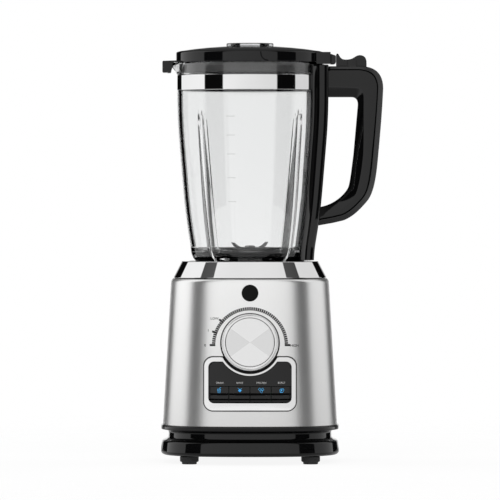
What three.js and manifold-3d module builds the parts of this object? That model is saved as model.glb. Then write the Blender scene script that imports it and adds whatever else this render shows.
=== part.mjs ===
// A countertop blender: motor base, glass jar with handle and blade unit, lid and measuring cap.
// Millimetres, +Z up, the front faces -Y, the handle points along +X.
import * as THREE from "three";
import { mergeVertices } from "three/addons/utils/BufferGeometryUtils.js";
import Module from "manifold-3d";

const wasm = await Module();
wasm.setup();

// ---------------------------------------------------------------- driving dimensions
const GAP = 0.3; // between pieces that touch
const PLAN_POWER = 2.8; // the base's rounded square is |x|^n + |y|^n = half^n
const FOOT_PLACE = 61; // from the drive axis to each foot, along X and along Y
const BASE = { bottom: 38.5, top: 185.5, halfBottom: 88.4, halfTop: 80.3, wall: 2.5 };
const SHOULDER_Z = 180; // where the housing's straight flank ends
const SEAT_TOP = 202.7; // top of the polished collar
const JAR = { bottom: 203.7, floor: 209.7, top: 404.9, wall: 4.4, mouth: 30 };
const BAND = { low: 377.1, high: 392.1, inner: 73.5, outer: 74.5 };
const FACE_Z = 122.5; // height of the dial's axis on the front face
const BUTTON_TRAVEL = 1.5;
const DIAL_RADIUS = 29.4;
const HANDLE_HALF = 14; // half the grip's width along Y
const STRIP = 5.7; // thickness of the strip along the back of the grip
const SPINE_ANGLE = 41; // the spine wraps this far round the jar, each side, in degrees
const RAIL = { half: 33, proud: 5.2 }; // the spine's rail, at the rim
const LID = { low: 405.2, rim: 416.4, crown: 421.6, radius: 75.3 };
const PIN = { x: 103.5, z: 405.2, radius: 1.6 }; // the latch's pivot
const MOTOR_BOLT_PLACE = 44;
const BLADE_TURN = 58; // plan angle of the upturned blade, in degrees
// The jar's outside radius against height, from the floor to the rim.
const JAR_RADIUS = [
  [57.2, 206.7], [59, 208.8], [64.1, 239.4], [67.1, 263.9], [69.2, 288.4],
  [71.2, 312.8], [73.2, 337.3], [74.2, 361.8],
];

const RAD = Math.PI / 180;
const LEAN = Math.atan2(BASE.halfBottom - BASE.halfTop, SHOULDER_Z - BASE.bottom);

// ---------------------------------------------------------------- materials
const paint = (color, roughness, metalness = 0) => ({ color, roughness, metalness });
const SATIN = paint(0xc4c4c2, 0.35, 1);
const CHROME = paint(0xe0e0e0, 0.08, 1);
const GLOSS = paint(0x101011, 0.12);
const MATT = paint(0x1b1b1c, 0.6);
const RUBBER = paint(0x161616, 0.85);
const GLASS = paint(0xe6eceb, 0.03);
const STEEL = paint(0xb4b5b6, 0.3, 1);
const ALLOY = paint(0xa2a3a3, 0.5, 1);
const COPPER = paint(0xb0643a, 0.4, 1);
const BRASS = paint(0xc09a50, 0.35, 1);
const BOARD = paint(0x1f5a3a, 0.6);

// ---------------------------------------------------------------- geometry helpers
// A closed three.js geometry as a manifold solid: shared corners merged, collapsed faces dropped
// and the faces turned outward.
function solid(geometry) {
  const bare = geometry.clone();
  bare.deleteAttribute("normal");
  bare.deleteAttribute("uv");
  const merged = mergeVertices(bare, 1e-3);
  const place = merged.attributes.position;
  const corner = merged.index.array;
  const faces = [];
  let volume = 0;
  const [a, b, c] = [0, 1, 2].map(() => new THREE.Vector3());
  for (let i = 0; i < corner.length; i += 3) {
    const [p, q, r] = corner.slice(i, i + 3);
    if (p === q || q === r || r === p) continue;
    faces.push(p, q, r);
    [a, b, c].forEach((v, k) => v.fromBufferAttribute(place, corner[i + k]));
    volume += a.dot(b.cross(c));
  }
  if (volume < 0) faces.reverse();
  return new wasm.Manifold(
    new wasm.Mesh({
      numProp: 3,
      vertProperties: new Float32Array(place.array),
      triVerts: new Uint32Array(faces),
    }),
  );
}

// A profile of [radius, height] pairs turned about Z. It starts and ends on the axis, or it is a
// closed ring section, which ring() closes.
function turned(profile, segments = 32) {
  const points = profile.map(([r, z]) => new THREE.Vector2(r, z));
  return new THREE.LatheGeometry(points, segments).rotateX(Math.PI / 2);
}
const ring = (section, segments) => turned([...section, section[0]], segments);
const washer = (inner, outer, low, high, segments = 20) =>
  solid(ring([[inner, low], [outer, low], [outer, high], [inner, high]], segments));
const rod = (radius, low, high, segments = 14) =>
  solid(turned([[0, low], [radius, low], [radius, high], [0, high]], segments));

// How far the rounded-square plan reaches in a direction, as a share of its half-width.
const reach = (angle) =>
  (Math.abs(Math.cos(angle)) ** PLAN_POWER + Math.abs(Math.sin(angle)) ** PLAN_POWER) **
  (-1 / PLAN_POWER);

// A turned geometry whose circles become rounded squares.
function squared(geometry) {
  const place = geometry.attributes.position;
  for (let i = 0; i < place.count; i++) {
    const [x, y] = [place.getX(i), place.getY(i)];
    const by = reach(Math.atan2(y, x));
    place.setXY(i, x * by, y * by);
  }
  return geometry;
}

// A flat outline as a plate: in the XY plane between two heights, or standing in the XZ plane and
// reaching half its width to each side of Y = 0.
function plate(shape, low, high, options = {}) {
  const flat = { depth: high - low, bevelEnabled: false, curveSegments: 5, ...options };
  return new THREE.ExtrudeGeometry(shape, flat).translate(0, 0, low);
}
function upright(shape, half, bevel = 0, curveSegments = 8) {
  const edge = {
    depth: 2 * (half - bevel), bevelEnabled: bevel > 0, bevelThickness: bevel,
    bevelSize: bevel, bevelOffset: -bevel, bevelSegments: 1, curveSegments,
  };
  return new THREE.ExtrudeGeometry(shape, edge)
    .translate(0, 0, bevel - half)
    .rotateX(Math.PI / 2);
}
const outline = (points) => new THREE.Shape(points.map(([x, y]) => new THREE.Vector2(x, y)));
const block = (x, y, z) => {
  const [w, d, h] = [x[1] - x[0], y[1] - y[0], z[1] - z[0]];
  const middle = [x, y, z].map(([low, high]) => (low + high) / 2);
  return solid(new THREE.BoxGeometry(w, d, h).translate(...middle));
};

// A rectangle between two corners, with round corners.
function rounded([x0, y0], [x1, y1], radius) {
  const s = new THREE.Shape();
  s.moveTo(x0 + radius, y0);
  s.lineTo(x1 - radius, y0).absarc(x1 - radius, y0 + radius, radius, -Math.PI / 2, 0);
  s.lineTo(x1, y1 - radius).absarc(x1 - radius, y1 - radius, radius, 0, Math.PI / 2);
  s.lineTo(x0 + radius, y1).absarc(x0 + radius, y1 - radius, radius, Math.PI / 2, Math.PI);
  s.absarc(x0 + radius, y0 + radius, radius, Math.PI, 1.5 * Math.PI);
  return s;
}

// A lobed star, as on a drive coupling.
function lobed(radius, lobes = 6, lift = 1.4) {
  const count = lobes * 6;
  return outline(Array.from({ length: count }, (_, i) => {
    const angle = (i / count) * 2 * Math.PI;
    const r = radius + lift * Math.cos(lobes * angle);
    return [r * Math.cos(angle), r * Math.sin(angle)];
  }));
}

// ---------------------------------------------------------------- the group and its placing
const blender = new THREE.Group();
const face = new THREE.Group(); // the front face: +Z out of it, +Y up along it
face.position.set(0, -halfAt(FACE_Z), FACE_Z);
face.rotation.x = Math.PI / 2 - LEAN;
face.updateMatrix();
blender.add(face);

// The housing's half-width at a height on its straight flank.
function halfAt(z) {
  const share = (z - BASE.bottom) / (SHOULDER_Z - BASE.bottom);
  return BASE.halfBottom + share * (BASE.halfTop - BASE.halfBottom);
}

function add(name, made, material, parent = blender) {
  const { vertProperties, triVerts } = made.getMesh();
  const geometry = new THREE.BufferGeometry()
    .setAttribute("position", new THREE.BufferAttribute(vertProperties, 3))
    .setIndex(new THREE.BufferAttribute(triVerts, 1));
  geometry.computeVertexNormals();
  const mesh = new THREE.Mesh(geometry, new THREE.MeshStandardMaterial(material));
  mesh.name = name;
  parent.add(mesh);
}

// A solid drawn on the front face, moved to where the face stands, and one moved back onto it.
const onFace = (geometry) => solid(geometry.applyMatrix4(face.matrix));
const backToFace = (made) => {
  const turn = face.matrix.clone().invert();
  return made.transform(turn.elements);
};

// The housing's flank grown outward by some amount, and the skin between two such flanks: pieces
// that follow the curved front are cut from it.
const flank = (grow) => solid(squared(turned([
  [0, 40], [halfAt(40) + grow, 40], [halfAt(150) + grow, 150], [0, 150],
], 44)));
const skin = (back, front) => backToFace(flank(front).subtract(flank(back)));

// ---------------------------------------------------------------- front controls' outlines
const FRAME = { half: 46.9, low: -69.4, high: -13.3, corner: 9 };
const PANEL = { half: 41.5, low: -60.2, high: -18.9, corner: 5.5 };
const FRAME_ARC = 30.4; // the frame's concave edge round the dial
const PANEL_ARC = 33;
const BUTTON = { low: -59.9, high: -43.8, edges: [-41.2, -21.2, 0, 21.2, 41.2] };
const plateOf = ({ half, low, high, corner }, grow, back, front) =>
  plate(rounded([-half - grow, low - grow], [half + grow, high + grow], corner + grow),
    back, front);
const disc = (radius, back, front, segments = 28) =>
  turned([[0, back], [radius, back], [radius, front], [0, front]], segments);

// ---------------------------------------------------------------- base shell
function baseShell() {
  const { bottom, top, halfBottom, halfTop, wall } = BASE;
  const shell = solid(squared(ring([
    [halfBottom, bottom], [halfTop, SHOULDER_Z], [halfTop - 0.3, 183], [halfTop - 2.4, top],
    [30, top], [30, top - 2.8], [halfTop - 6, top - 2.8], [halfTop - wall, SHOULDER_Z - 2],
    [halfBottom - wall, bottom],
  ], 32)));
  const pocket = onFace(plateOf(FRAME, GAP, -12, 20)).subtract(flank(-1.5));
  const window = onFace(plateOf(PANEL, GAP, -14, 20)).subtract(onFace(disc(PANEL_ARC, -16, 22)));
  const dialSeat = onFace(disc(FRAME_ARC, -14, 22));
  const spindleHole = onFace(disc(4, -6, 20, 16));
  const cordHole = rod(8.3, 0, 30, 24).rotate([-90, 0, 0]).translate([0, 70, 52]);
  add("base_housing", shell
    .subtract(pocket.subtract(dialSeat)).subtract(window)
    .subtract(spindleHole).subtract(cordHole), SATIN);

  const collar = solid(squared(turned([
    [0, 186.4], [78.3, 186.4], [69.9, SEAT_TOP - 0.7], [69.1, SEAT_TOP], [0, SEAT_TOP],
  ], 32)));
  add("top_collar", collar.subtract(rod(61.8, 180, 210, 32)), CHROME);

  add("plinth", solid(squared(ring([
    [80.4, 22.9], [83.4, 25], [83.4, 30.6], [89.4, 33.4], [90.4, 34.2], [90.4, 37.4],
    [89.9, 38.2], [84, 38.2], [77, 30], [77, 22.9],
  ], 32))), GLOSS);

  const tray = solid(squared(turned([
    [0, 8.2], [88.6, 8.2], [90.4, 10.2], [89.5, 21.6], [88.6, 22.6], [75, 22.6],
    [75, 20.4], [84, 20.4], [86, 12], [0, 12],
  ], 32)));
  const vents = Array.from({ length: 7 }, (_, i) =>
    block([-30, 30], [-26 + 8 * i, -22 + 8 * i], [0, 14]));
  const corners = [-1, 1].flatMap((x) => [-1, 1].map((y) => [x, y]));
  const screwHoles = corners.map(([x, y]) =>
    rod(2, 0, 14, 12).add(rod(3.9, 0, 10.2, 12)).translate([44 * x, 64 * y, 0]));
  add("bottom_cover", [...vents, ...screwHoles].reduce((s, cut) => s.subtract(cut), tray), GLOSS);

  const named = (kind) => ([x, y]) =>
    `${y < 0 ? "front" : "rear"}_${x < 0 ? "left" : "right"}_${kind}`;
  corners.forEach(([x, y]) => {
    const foot = solid(turned([
      [0, 0], [7, 0], [7.5, 0.5], [7.5, 2], [9.5, 2.6], [9.5, 7.9], [0, 7.9],
    ], 16));
    add(named("foot")([x, y]), foot.translate([FOOT_PLACE * x, FOOT_PLACE * y, 0]), RUBBER);
    const screw = solid(turned([
      [0, 8.4], [3.6, 8.4], [3.6, 9.9], [1.6, 9.9], [1.6, 20], [0, 20],
    ], 10));
    add(named("cover_screw")([x, y]), screw.translate([44 * x, 64 * y, 0]), STEEL);
  });

  const inlet = solid(ring([[4, 0], [8, 0], [8, 9.4], [9.5, 9.4], [9.5, 10.8], [4, 11.4]], 24));
  add("cord_inlet", inlet.rotate([-90, 0, 0]).translate([0, 79, 52]), RUBBER);
}

// ---------------------------------------------------------------- jar seat on top of the base
function jarSeat() {
  add("jar_seat", solid(ring([
    [12.5, 186.2], [61.4, 186.2], [61.4, 201.9], [59.2, 201.9], [58.6, 189.6], [12.5, 189.6],
  ], 32)), MATT);
}

// ---------------------------------------------------------------- motor
function motor() {
  const boltPlaces = [-1, 1].map((side) => [0, MOTOR_BOLT_PLACE * side, 0]);
  const bracket = (low, high, bore) => boltPlaces.reduce(
    (s, place) => s.subtract(rod(2.6, 0, 200, 10).translate(place)),
    washer(bore, 51, low, high, 24));
  add("lower_motor_bracket", bracket(50, 55, 9.8), ALLOY);
  add("upper_motor_bracket", bracket(158, 163, 11.3), ALLOY);
  boltPlaces.forEach((place, i) =>
    add(i ? "rear_motor_bolt" : "front_motor_bolt", solid(turned([
      [0, 44], [4, 44], [4, 49.6], [2.2, 49.6], [2.2, 182.3], [0, 182.3],
    ], 10)).translate(place), STEEL));
  add("lower_bearing", washer(4.3, 9.5, 50.3, 54.7), STEEL);
  add("upper_bearing", washer(4.3, 11, 158.3, 162.7), STEEL);
  add("stator_core", washer(21.3, 38, 88, 126, 28), STEEL);
  add("lower_field_winding", washer(22.5, 35, 78, 87.6, 20), COPPER);
  add("upper_field_winding", washer(22.5, 35, 126.4, 136, 20), COPPER);
  add("armature", solid(ring([
    [4.3, 60], [12, 60], [12, 76], [7, 77], [7, 80], [16, 80], [17, 87.8], [20.8, 88],
    [20.8, 126], [17, 126.2], [16, 134], [4.3, 134],
  ], 18)), STEEL);
  [["left", -1], ["right", 1]].forEach(([side, x]) => {
    const holder = block([13, 32], [-4.5, 4.5], [63, 71]).add(
      block([20, 32], [-4.5, 4.5], [55.4, 63.5]));
    add(`${side}_brush_holder`, x > 0 ? holder : holder.rotate([0, 0, 180]), BRASS);
  });
  const fan = washer(4.3, 31, 141, 143).add(washer(4.3, 8, 142, 153));
  const vane = block([7, 30], [-0.8, 0.8], [142.5, 152]);
  const vanes = Array.from({ length: 8 }, (_, i) => vane.rotate([0, 0, 45 * i]));
  add("cooling_fan", vanes.reduce((s, v) => s.add(v), fan), MATT);
  add("motor_shaft", rod(4, 47, 196), STEEL);
  const coupling = solid(plate(lobed(11.4), 190, 200)).subtract(rod(4.3, 180, 196.6));
  add("drive_coupling", coupling, STEEL);
}

// ---------------------------------------------------------------- controls on the front face
function controls() {
  const arc = solid(disc(FRAME_ARC, -20, 20));
  const panelArc = solid(disc(PANEL_ARC, -20, 20));
  const frameHole = solid(plateOf(PANEL, 0, -20, 20)).subtract(panelArc);
  const frameBase = solid(plateOf(FRAME, 0, -20, 20)).intersect(skin(-1.2, 2.4));
  const frameTop = solid(plateOf(FRAME, -1.2, -20, 20)).intersect(skin(1, 3.6));
  add("control_frame", frameBase.add(frameTop).subtract(arc).subtract(frameHole), CHROME, face);

  const panelLow = BUTTON.high + 0.4;
  const panel = solid(plateOf(PANEL, -GAP, -20, 20)).intersect(skin(-2, 1.6))
    .subtract(solid(disc(PANEL_ARC + GAP, -20, 20)))
    .subtract(block([-60, 60], [-90, panelLow], [-20, 20]));
  add("control_panel", panel, GLOSS, face);

  const names = ["smoothie", "clean", "ice", "pulse"];
  const buttonField = solid(plateOf(PANEL, -0.4, -20, 20)).intersect(skin(-1.5, 2.2));
  names.forEach((name, i) => {
    const [left, right] = [BUTTON.edges[i] + 0.25, BUTTON.edges[i + 1] - 0.25];
    const middle = (left + right) / 2;
    const key = block([left, right], [BUTTON.low, BUTTON.high], [-20, 20])
      .intersect(buttonField)
      .add(block([middle - 3, middle + 3], [-54.2, -48.2], [-8, i % 3 ? 0 : -2.5]));
    add(`${name}_button`, key, GLOSS, face);
  });

  const boardTop = -17;
  const board = block([-40, 40], [-62, boardTop], [-13, -11.4]);
  const switches = names.map((_, i) => {
    const middle = (BUTTON.edges[i] + BUTTON.edges[i + 1]) / 2;
    return block([middle - 3, middle + 3], [-54.2, -48.2], [-11.8, -8 - BUTTON_TRAVEL - GAP]);
  });
  add("control_board", switches.reduce((s, one) => s.add(one), board), BOARD, face);
  add("speed_switch", block([-13, 13], [-13, 13], [-18, -4.6]), MATT, face);
  add("knob_spindle", solid(turned([
    [0, -4.2], [3, -4.2], [3, 13.6], [0, 13.6],
  ], 16)), STEEL, face);
  add("knob_body", solid(ring([
    [3.3, 14], [0, 14], [0, 16.4], [24.6, 16.4], [24.6, 18], [28, 17.6], [DIAL_RADIUS, 16],
    [DIAL_RADIUS, 2.2], [27.2, 2.2], [27.2, 12], [7, 12], [7, 3], [3.3, 3],
  ], 28)), CHROME, face);
  add("knob_cap", solid(disc(24.3, 16.7, 17.8)), STEEL, face);
  add("front_badge", solid(disc(8.4, 0.35, 1.6, 24)).translate([0, 49.8, 0]), GLOSS, face);
}

// ---------------------------------------------------------------- glass jar and its fittings
const outside = JAR_RADIUS.map(([r, z]) => [r, z]);
const rimRadius = JAR_RADIUS.at(-1)[0];
const grooved = [
  [rimRadius, BAND.low - 0.5], [BAND.inner - GAP, BAND.low - GAP],
  [BAND.inner - GAP, BAND.high + GAP], [rimRadius, BAND.high + 0.5],
];

function glassJar() {
  const inside = JAR_RADIUS.slice(2).map(([r, z]) => [r - JAR.wall, z]).reverse();
  const wall = solid(ring([
    [JAR.mouth, JAR.bottom], [54.2, JAR.bottom], ...outside, ...grooved, [rimRadius, JAR.top],
    [rimRadius - JAR.wall, JAR.top], ...inside, [54.5, 214], [50, JAR.floor],
    [JAR.mouth, JAR.floor],
  ], 32));

  // The spout leans outward as it rises; its channel is the same wedge, set back by the wall.
  const wedge = (tip, half) => {
    const shape = new THREE.Shape();
    shape.moveTo(-50, -half);
    shape.lineTo(-50, half).lineTo(-66, half);
    shape.quadraticCurveTo(tip, 6, tip, 0);
    shape.quadraticCurveTo(tip, -6, -66, -half);
    const geometry = plate(shape, BAND.high + 0.7, JAR.top + 1, { curveSegments: 4 });
    const place = geometry.attributes.position;
    for (let i = 0; i < place.count; i++) {
      place.setX(i, place.getX(i) + 0.62 * (JAR.top - place.getZ(i)));
    }
    return solid(geometry);
  };
  const trim = rod(100, JAR.top, JAR.top + 20);
  const hollow = solid(turned([
    [0, 380], [rimRadius - JAR.wall, 380], [rimRadius - JAR.wall, 410], [0, 410],
  ], 32));
  const lip = wedge(-82.2, 24).subtract(trim).subtract(hollow);

  // Four inner ribs stir the contents; each grows deeper towards the floor.
  const rib = solid(upright(outline([
    [45.3, 211.5], [66.6, 352], [70.6, 353], [70.6, 338], [66, 288], [61.5, 240],
    [55.5, 214], [54, 210.5],
  ]), 2));
  const ribs = [45, 135, 225, 315].map((angle) => rib.rotate([0, 0, angle]));
  add("glass_jar", ribs.reduce((s, one) => s.add(one), wall.add(lip))
    .subtract(wedge(-78.2, 20)), GLASS);

  add("steel_band", washer(BAND.inner, BAND.outer, BAND.low, BAND.high, 32), CHROME);
  add("jar_foot", solid(ring([
    [22, 200.2], [50, 200.2], [50, 191.9], [57, 191.9], [57, 203.4], [22, 203.4],
  ], 32)), MATT);
}

// ---------------------------------------------------------------- handle
// The back edge of the handle, set in from its outer line by some amount. Each curve is a control
// point, a control point and an end point; each point moves against its own outward normal.
function backEdge(path, inset, first) {
  const at = ([x, z, nx, nz]) => [x - inset * nx, z - inset * nz];
  const line = [
    [[127, 401.4, 0.25, 0.97], [135.2, 394, 0.97, 0.25], [135.2, 379, 1, 0]],
    [[134.2, 355, 1, 0.03], [132, 331, 1, -0.05], [129.7, 306, 0.99, -0.1]],
    [[128, 288, 0.98, -0.2], [125.5, 272, 0.9, -0.45], [118.5, 264, 0.75, -0.66]],
    [[112, 256.5, 0.65, -0.76], [105, 249, 0.45, -0.9], [95, 245, 0.33, -0.94]],
  ];
  const end = at([71.6, 240.4, 0.1, -0.99]);
  if (first) {
    line.forEach(([p, q, r]) => path.bezierCurveTo(...at(p), ...at(q), ...at(r)));
    path.lineTo(...end);
  } else {
    path.lineTo(...end).lineTo(...at(line[3][2]));
    const starts = [[112, 401.4, 0, 1], line[0][2], line[1][2], line[2][2]];
    for (let i = 3; i >= 0; i--) {
      path.bezierCurveTo(...at(line[i][1]), ...at(line[i][0]), ...at(starts[i]));
    }
  }
}

function handle() {
  const thick = 3.4;
  const gap = 0.4;
  const spineTop = 402.6;
  const outer = JAR_RADIUS.map(([r, z]) => [r + thick, z]);
  const inner = JAR_RADIUS.map(([r, z]) => [r + gap, z]).reverse();
  const clamp = BAND.outer + gap;
  const sleeve = solid(ring([
    [60.6, JAR.bottom], ...outer, [rimRadius + thick + 0.4, spineTop],
    [clamp, spineTop], [clamp, BAND.low - 2], ...inner, [57.6, JAR.bottom],
  ], 48));
  const side = Math.tan(SPINE_ANGLE * RAD);
  const sector = solid(plate(outline([
    [20, -20 * side], [110, -110 * side], [110, 110 * side], [20, 20 * side],
  ]), 190, 410));
  // A rail stands proud of the sleeve; its sides are flat, and it narrows with the jar.
  const levels = [[57.2, JAR.bottom], ...JAR_RADIUS, [rimRadius, spineTop]];
  const corners = levels.flatMap(([r, z]) => {
    const half = RAIL.half * (r / rimRadius);
    const reach = r + RAIL.proud;
    return [[0.6 * r, half], [reach - 4, half], [reach - 1.2, half - 1.2], [reach, half - 4.6]]
      .flatMap(([x, y]) => [[x, y, z], [x, -y, z]]);
  });
  const bore = solid(turned([
    [0, JAR.bottom - 1], [57.6, JAR.bottom - 1], ...[...inner].reverse(),
    [clamp, BAND.low - 2], [clamp, spineTop + 1], [0, spineTop + 1],
  ], 48));
  const rail = wasm.Manifold.hull(corners).subtract(bore);
  add("handle_spine", sleeve.intersect(sector).add(rail), GLOSS);

  const grip = new THREE.Shape();
  grip.moveTo(79.8, 401.4);
  grip.lineTo(112 - GAP, 401.4);
  grip.lineTo(112 - GAP, 401.4 - STRIP - GAP);
  backEdge(grip, STRIP + GAP, true);
  grip.lineTo(72.8, 259.1);
  grip.quadraticCurveTo(91, 264, 99, 277);
  grip.quadraticCurveTo(101.5, 281, 105, 312);
  grip.lineTo(109.3, 361);
  grip.quadraticCurveTo(110, 370, 103, 370);
  grip.lineTo(79.8, 370);
  const ear = block([98.5, 108.5], [9.7, 12.8], [399, 408.4]);
  const ears = ear.add(ear.mirror([0, 1, 0]));
  const pinHole = rod(PIN.radius + GAP, -20, 20, 12).rotate([90, 0, 0])
    .translate([PIN.x, 0, PIN.z]);
  // The latch sits in a well, which leaves room under its tail for it to rock.
  const well = block([86.2, 120.6], [-9.7, 9.7], [397.8, 404]);
  add("handle_grip", solid(upright(grip, HANDLE_HALF, 2.5, 6)).subtract(well).add(ears)
    .subtract(pinHole), GLOSS);

  const strip = new THREE.Shape();
  strip.moveTo(112, 401.4);
  backEdge(strip, 0, true);
  backEdge(strip, STRIP, false);
  add("grip_strip", solid(upright(strip, HANDLE_HALF, 0, 6)).subtract(well), MATT);

  const latch = new THREE.Shape();
  latch.moveTo(87.4, 400.4);
  latch.lineTo(87.4, 413);
  latch.quadraticCurveTo(88.6, 415.4, 90.4, 413);
  latch.quadraticCurveTo(93, 408.2, 97, 408.2);
  latch.quadraticCurveTo(102.6, 408.2, 106, 410.6);
  latch.quadraticCurveTo(111, 413.6, 115, 411.6);
  latch.quadraticCurveTo(118.4, 410, 118.4, 404);
  latch.lineTo(118.4, 400.4);
  add("lid_latch", solid(upright(latch, 9.3, 0, 4)).subtract(pinHole), GLOSS);
  add("latch_pin", rod(PIN.radius, -12.6, 12.6, 12).rotate([90, 0, 0])
    .translate([PIN.x, 0, PIN.z]), STEEL);
}

// ---------------------------------------------------------------- blade unit in the jar's floor
function bladeUnit() {
  add("blade_base", solid(ring([
    [7.3, 204], [29.6, 204], [29.6, 210.9], [31.8, 210.9], [31.8, 215.9], [31.3, 216.5],
    [24, 216.5], [22.8, 211.4], [7.3, 211.4],
  ], 28)), GLOSS);
  add("blade_bush", washer(3.75, 7, 204.3, 211.1), BRASS);

  const shaftHole = rod(3.7, 180, 219.5, 16);
  const plan = (tip) => solid(plate(outline([
    [-tip, -1], [-6, -7], [6, -7], [tip, -4.5], [tip, 1], [6, 7], [-6, 7], [-tip, 4.5],
  ]), 200, 230));
  const side = (points) => solid(upright(outline(points), 10));
  const flat = side([[-22, 214], [0, 213], [22, 214], [22, 215.2], [0, 214.4], [-22, 215.2]]);
  add("lower_blade", flat.intersect(plan(22)).subtract(shaftHole)
    .rotate([0, 0, BLADE_TURN + 90]), STEEL);
  const lifted = side([
    [-30, 222.6], [-26, 218.8], [-20, 216.2], [-9, 214.8], [9, 214.8], [20, 216.2],
    [26, 218.8], [30, 222.6], [29.4, 223.5], [25, 219.8], [19.4, 217.4], [9, 216],
    [-9, 216], [-19.4, 217.4], [-25, 219.8], [-29.4, 223.5],
  ]);
  add("upper_blade", lifted.intersect(plan(30)).subtract(shaftHole)
    .rotate([0, 0, BLADE_TURN]), STEEL);
  const nut = rod(6, 216.3, 220, 6).add(solid(turned([[0, 219.8], [5, 219.8], [4, 221.6],
    [0, 222.4]], 12)));
  add("blade_nut", nut.subtract(shaftHole), STEEL);
  add("blade_shaft", rod(3.4, 200.9, 219.2), STEEL);
  const socket = rod(19.5, 191.9, 199.9, 24)
    .subtract(solid(plate(lobed(12.3), 180, 200)));
  const socketTop = washer(3.7, 19.5, 200.3, 203, 24);
  const joined = socket.add(washer(15, 19.5, 199, 201, 24)).add(socketTop);
  add("jar_coupling", joined, STEEL);
}

// ---------------------------------------------------------------- lid
function lid() {
  const { low, rim, crown, radius } = LID;
  const disk = solid(ring([
    [21.3, 397], [24, 397], [24, 412], [62, 409], [62, 394], [66, 394], [66, low],
    [radius, low], [radius, rim - 1.2], [radius - 1, rim], [60, 418.7], [40, 420.7], [26, crown],
    [21.3, crown],
  ], 32));
  const spoutCover = new THREE.Shape();
  spoutCover.moveTo(-72, low + 0.1);
  spoutCover.lineTo(-83.4, low + 0.1);
  spoutCover.lineTo(-83.4, 394.7);
  spoutCover.lineTo(-88, 394.7).quadraticCurveTo(-88.9, 394.7, -88.9, 396);
  spoutCover.lineTo(-88.9, 405.8).quadraticCurveTo(-88.9, 406.9, -87.6, 406.9);
  spoutCover.lineTo(-72, 407.4);
  const cheek = block([-84, -79.2], [14.4, 17], [395.4, low + 0.4]);
  const hood = solid(upright(spoutCover, 17, 0, 4)).add(cheek).add(cheek.mirror([0, 1, 0]));
  add("lid", disk.add(hood), GLOSS);

  // The arm's root hugs the rim above the spine's rail; its tongue reaches to the latch.
  const root = block([66.8, 81.4], [-36, 36], [403.2, 415.4]);
  const tongue = solid(upright(outline([
    [80, 403.2], [85, 403.2], [86.4, 404.4], [86.4, 412.4], [80, 414.6],
  ]), 13));
  add("lid_arm", root.subtract(rod(radius + GAP, 400, 420, 64)).add(tongue), GLOSS);
  add("lid_gasket", washer(66.3, 69.3, 397, 401.5, 32), RUBBER);
  add("measuring_cap", solid(turned([
    [0, 422.2], [18.6, 422.2], [18.6, 400], [20.9, 400], [20.9, 421.9], [24, 421.9],
    [24, 424.2], [23.4, 424.8], [0, 424.8],
  ], 28)), GLASS);
}

baseShell();
jarSeat();
motor();
controls();
glassJar();
handle();
bladeUnit();
lid();

// The origin moves to the middle of the bounding box, on the surface the feet stand on.
const box = new THREE.Box3().setFromObject(blender, true);
const middle = box.getCenter(new THREE.Vector3());
blender.position.set(-middle.x, -middle.y, -box.min.z);

export default blender;
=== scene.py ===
"""A countertop blender: motor base with dial and keys, glass jar with handle and blades, lid and cap.

Lengths in this script are millimetres from the drive axis; each mesh is moved to metres as it is made.
"""

import math

import bmesh
import bpy
import numpy as np
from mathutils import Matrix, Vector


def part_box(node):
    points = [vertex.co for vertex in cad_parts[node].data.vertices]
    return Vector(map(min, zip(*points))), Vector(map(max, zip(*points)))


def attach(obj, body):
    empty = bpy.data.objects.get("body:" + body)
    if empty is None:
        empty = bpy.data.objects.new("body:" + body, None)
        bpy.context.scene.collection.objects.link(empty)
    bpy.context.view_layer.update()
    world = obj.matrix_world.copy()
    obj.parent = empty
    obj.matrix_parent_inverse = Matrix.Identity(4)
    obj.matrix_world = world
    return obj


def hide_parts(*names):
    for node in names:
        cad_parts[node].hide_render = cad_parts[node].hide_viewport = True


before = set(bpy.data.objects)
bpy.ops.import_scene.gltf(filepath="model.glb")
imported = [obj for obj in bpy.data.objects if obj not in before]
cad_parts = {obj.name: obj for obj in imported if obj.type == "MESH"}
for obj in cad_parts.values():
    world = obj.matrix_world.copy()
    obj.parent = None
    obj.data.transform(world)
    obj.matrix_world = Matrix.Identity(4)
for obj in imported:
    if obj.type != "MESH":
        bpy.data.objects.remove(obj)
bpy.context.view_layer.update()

# ---------------------------------------------------------------- camera
# A long lens, a little above the middle of the object and square to its front.
shaft_low, shaft_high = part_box("motor_shaft")
AXIS = np.array([(shaft_low.x + shaft_high.x) / 2, (shaft_low.y + shaft_high.y) / 2, 0]) * 1000
CAMERA_DISTANCE = 5.9
EYE_HEIGHT = 0.27
AIM_HEIGHT = 0.2149
LENS = 418
camera = bpy.data.objects.new("camera", bpy.data.cameras.new("camera"))
bpy.context.scene.collection.objects.link(camera)
camera.data.lens = LENS
camera.data.clip_end = 100
camera.location = (AXIS[0] / 1000, AXIS[1] / 1000 - CAMERA_DISTANCE, EYE_HEIGHT)
camera.rotation_euler = (
    math.pi / 2 - math.atan2(EYE_HEIGHT - AIM_HEIGHT, CAMERA_DISTANCE), 0, 0)
bpy.context.scene.camera = camera
bpy.context.scene.view_settings.view_transform = "Standard"


# ---------------------------------------------------------------- studio
# A white tent with two black boards each side: one beside the camera, one behind the object.
# The boards draw the dark upright bars on metal and black plastic. The camera itself sees white.
def node(tree, kind, inputs=None, **settings):
    """A shader node; an input given as a socket is linked, any other is set."""
    made = tree.nodes.new("ShaderNode" + kind)
    for key, value in settings.items():
        setattr(made, key, value)
    for key, value in (inputs or {}).items():
        if isinstance(value, bpy.types.NodeSocket):
            tree.links.new(value, made.inputs[key])
        else:
            made.inputs[key].default_value = value
    return made


def math_node(tree, operation, first, second=0.0, third=0.0):
    return node(tree, "Math", {0: first, 1: second, 2: third}, operation=operation).outputs[0]


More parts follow.
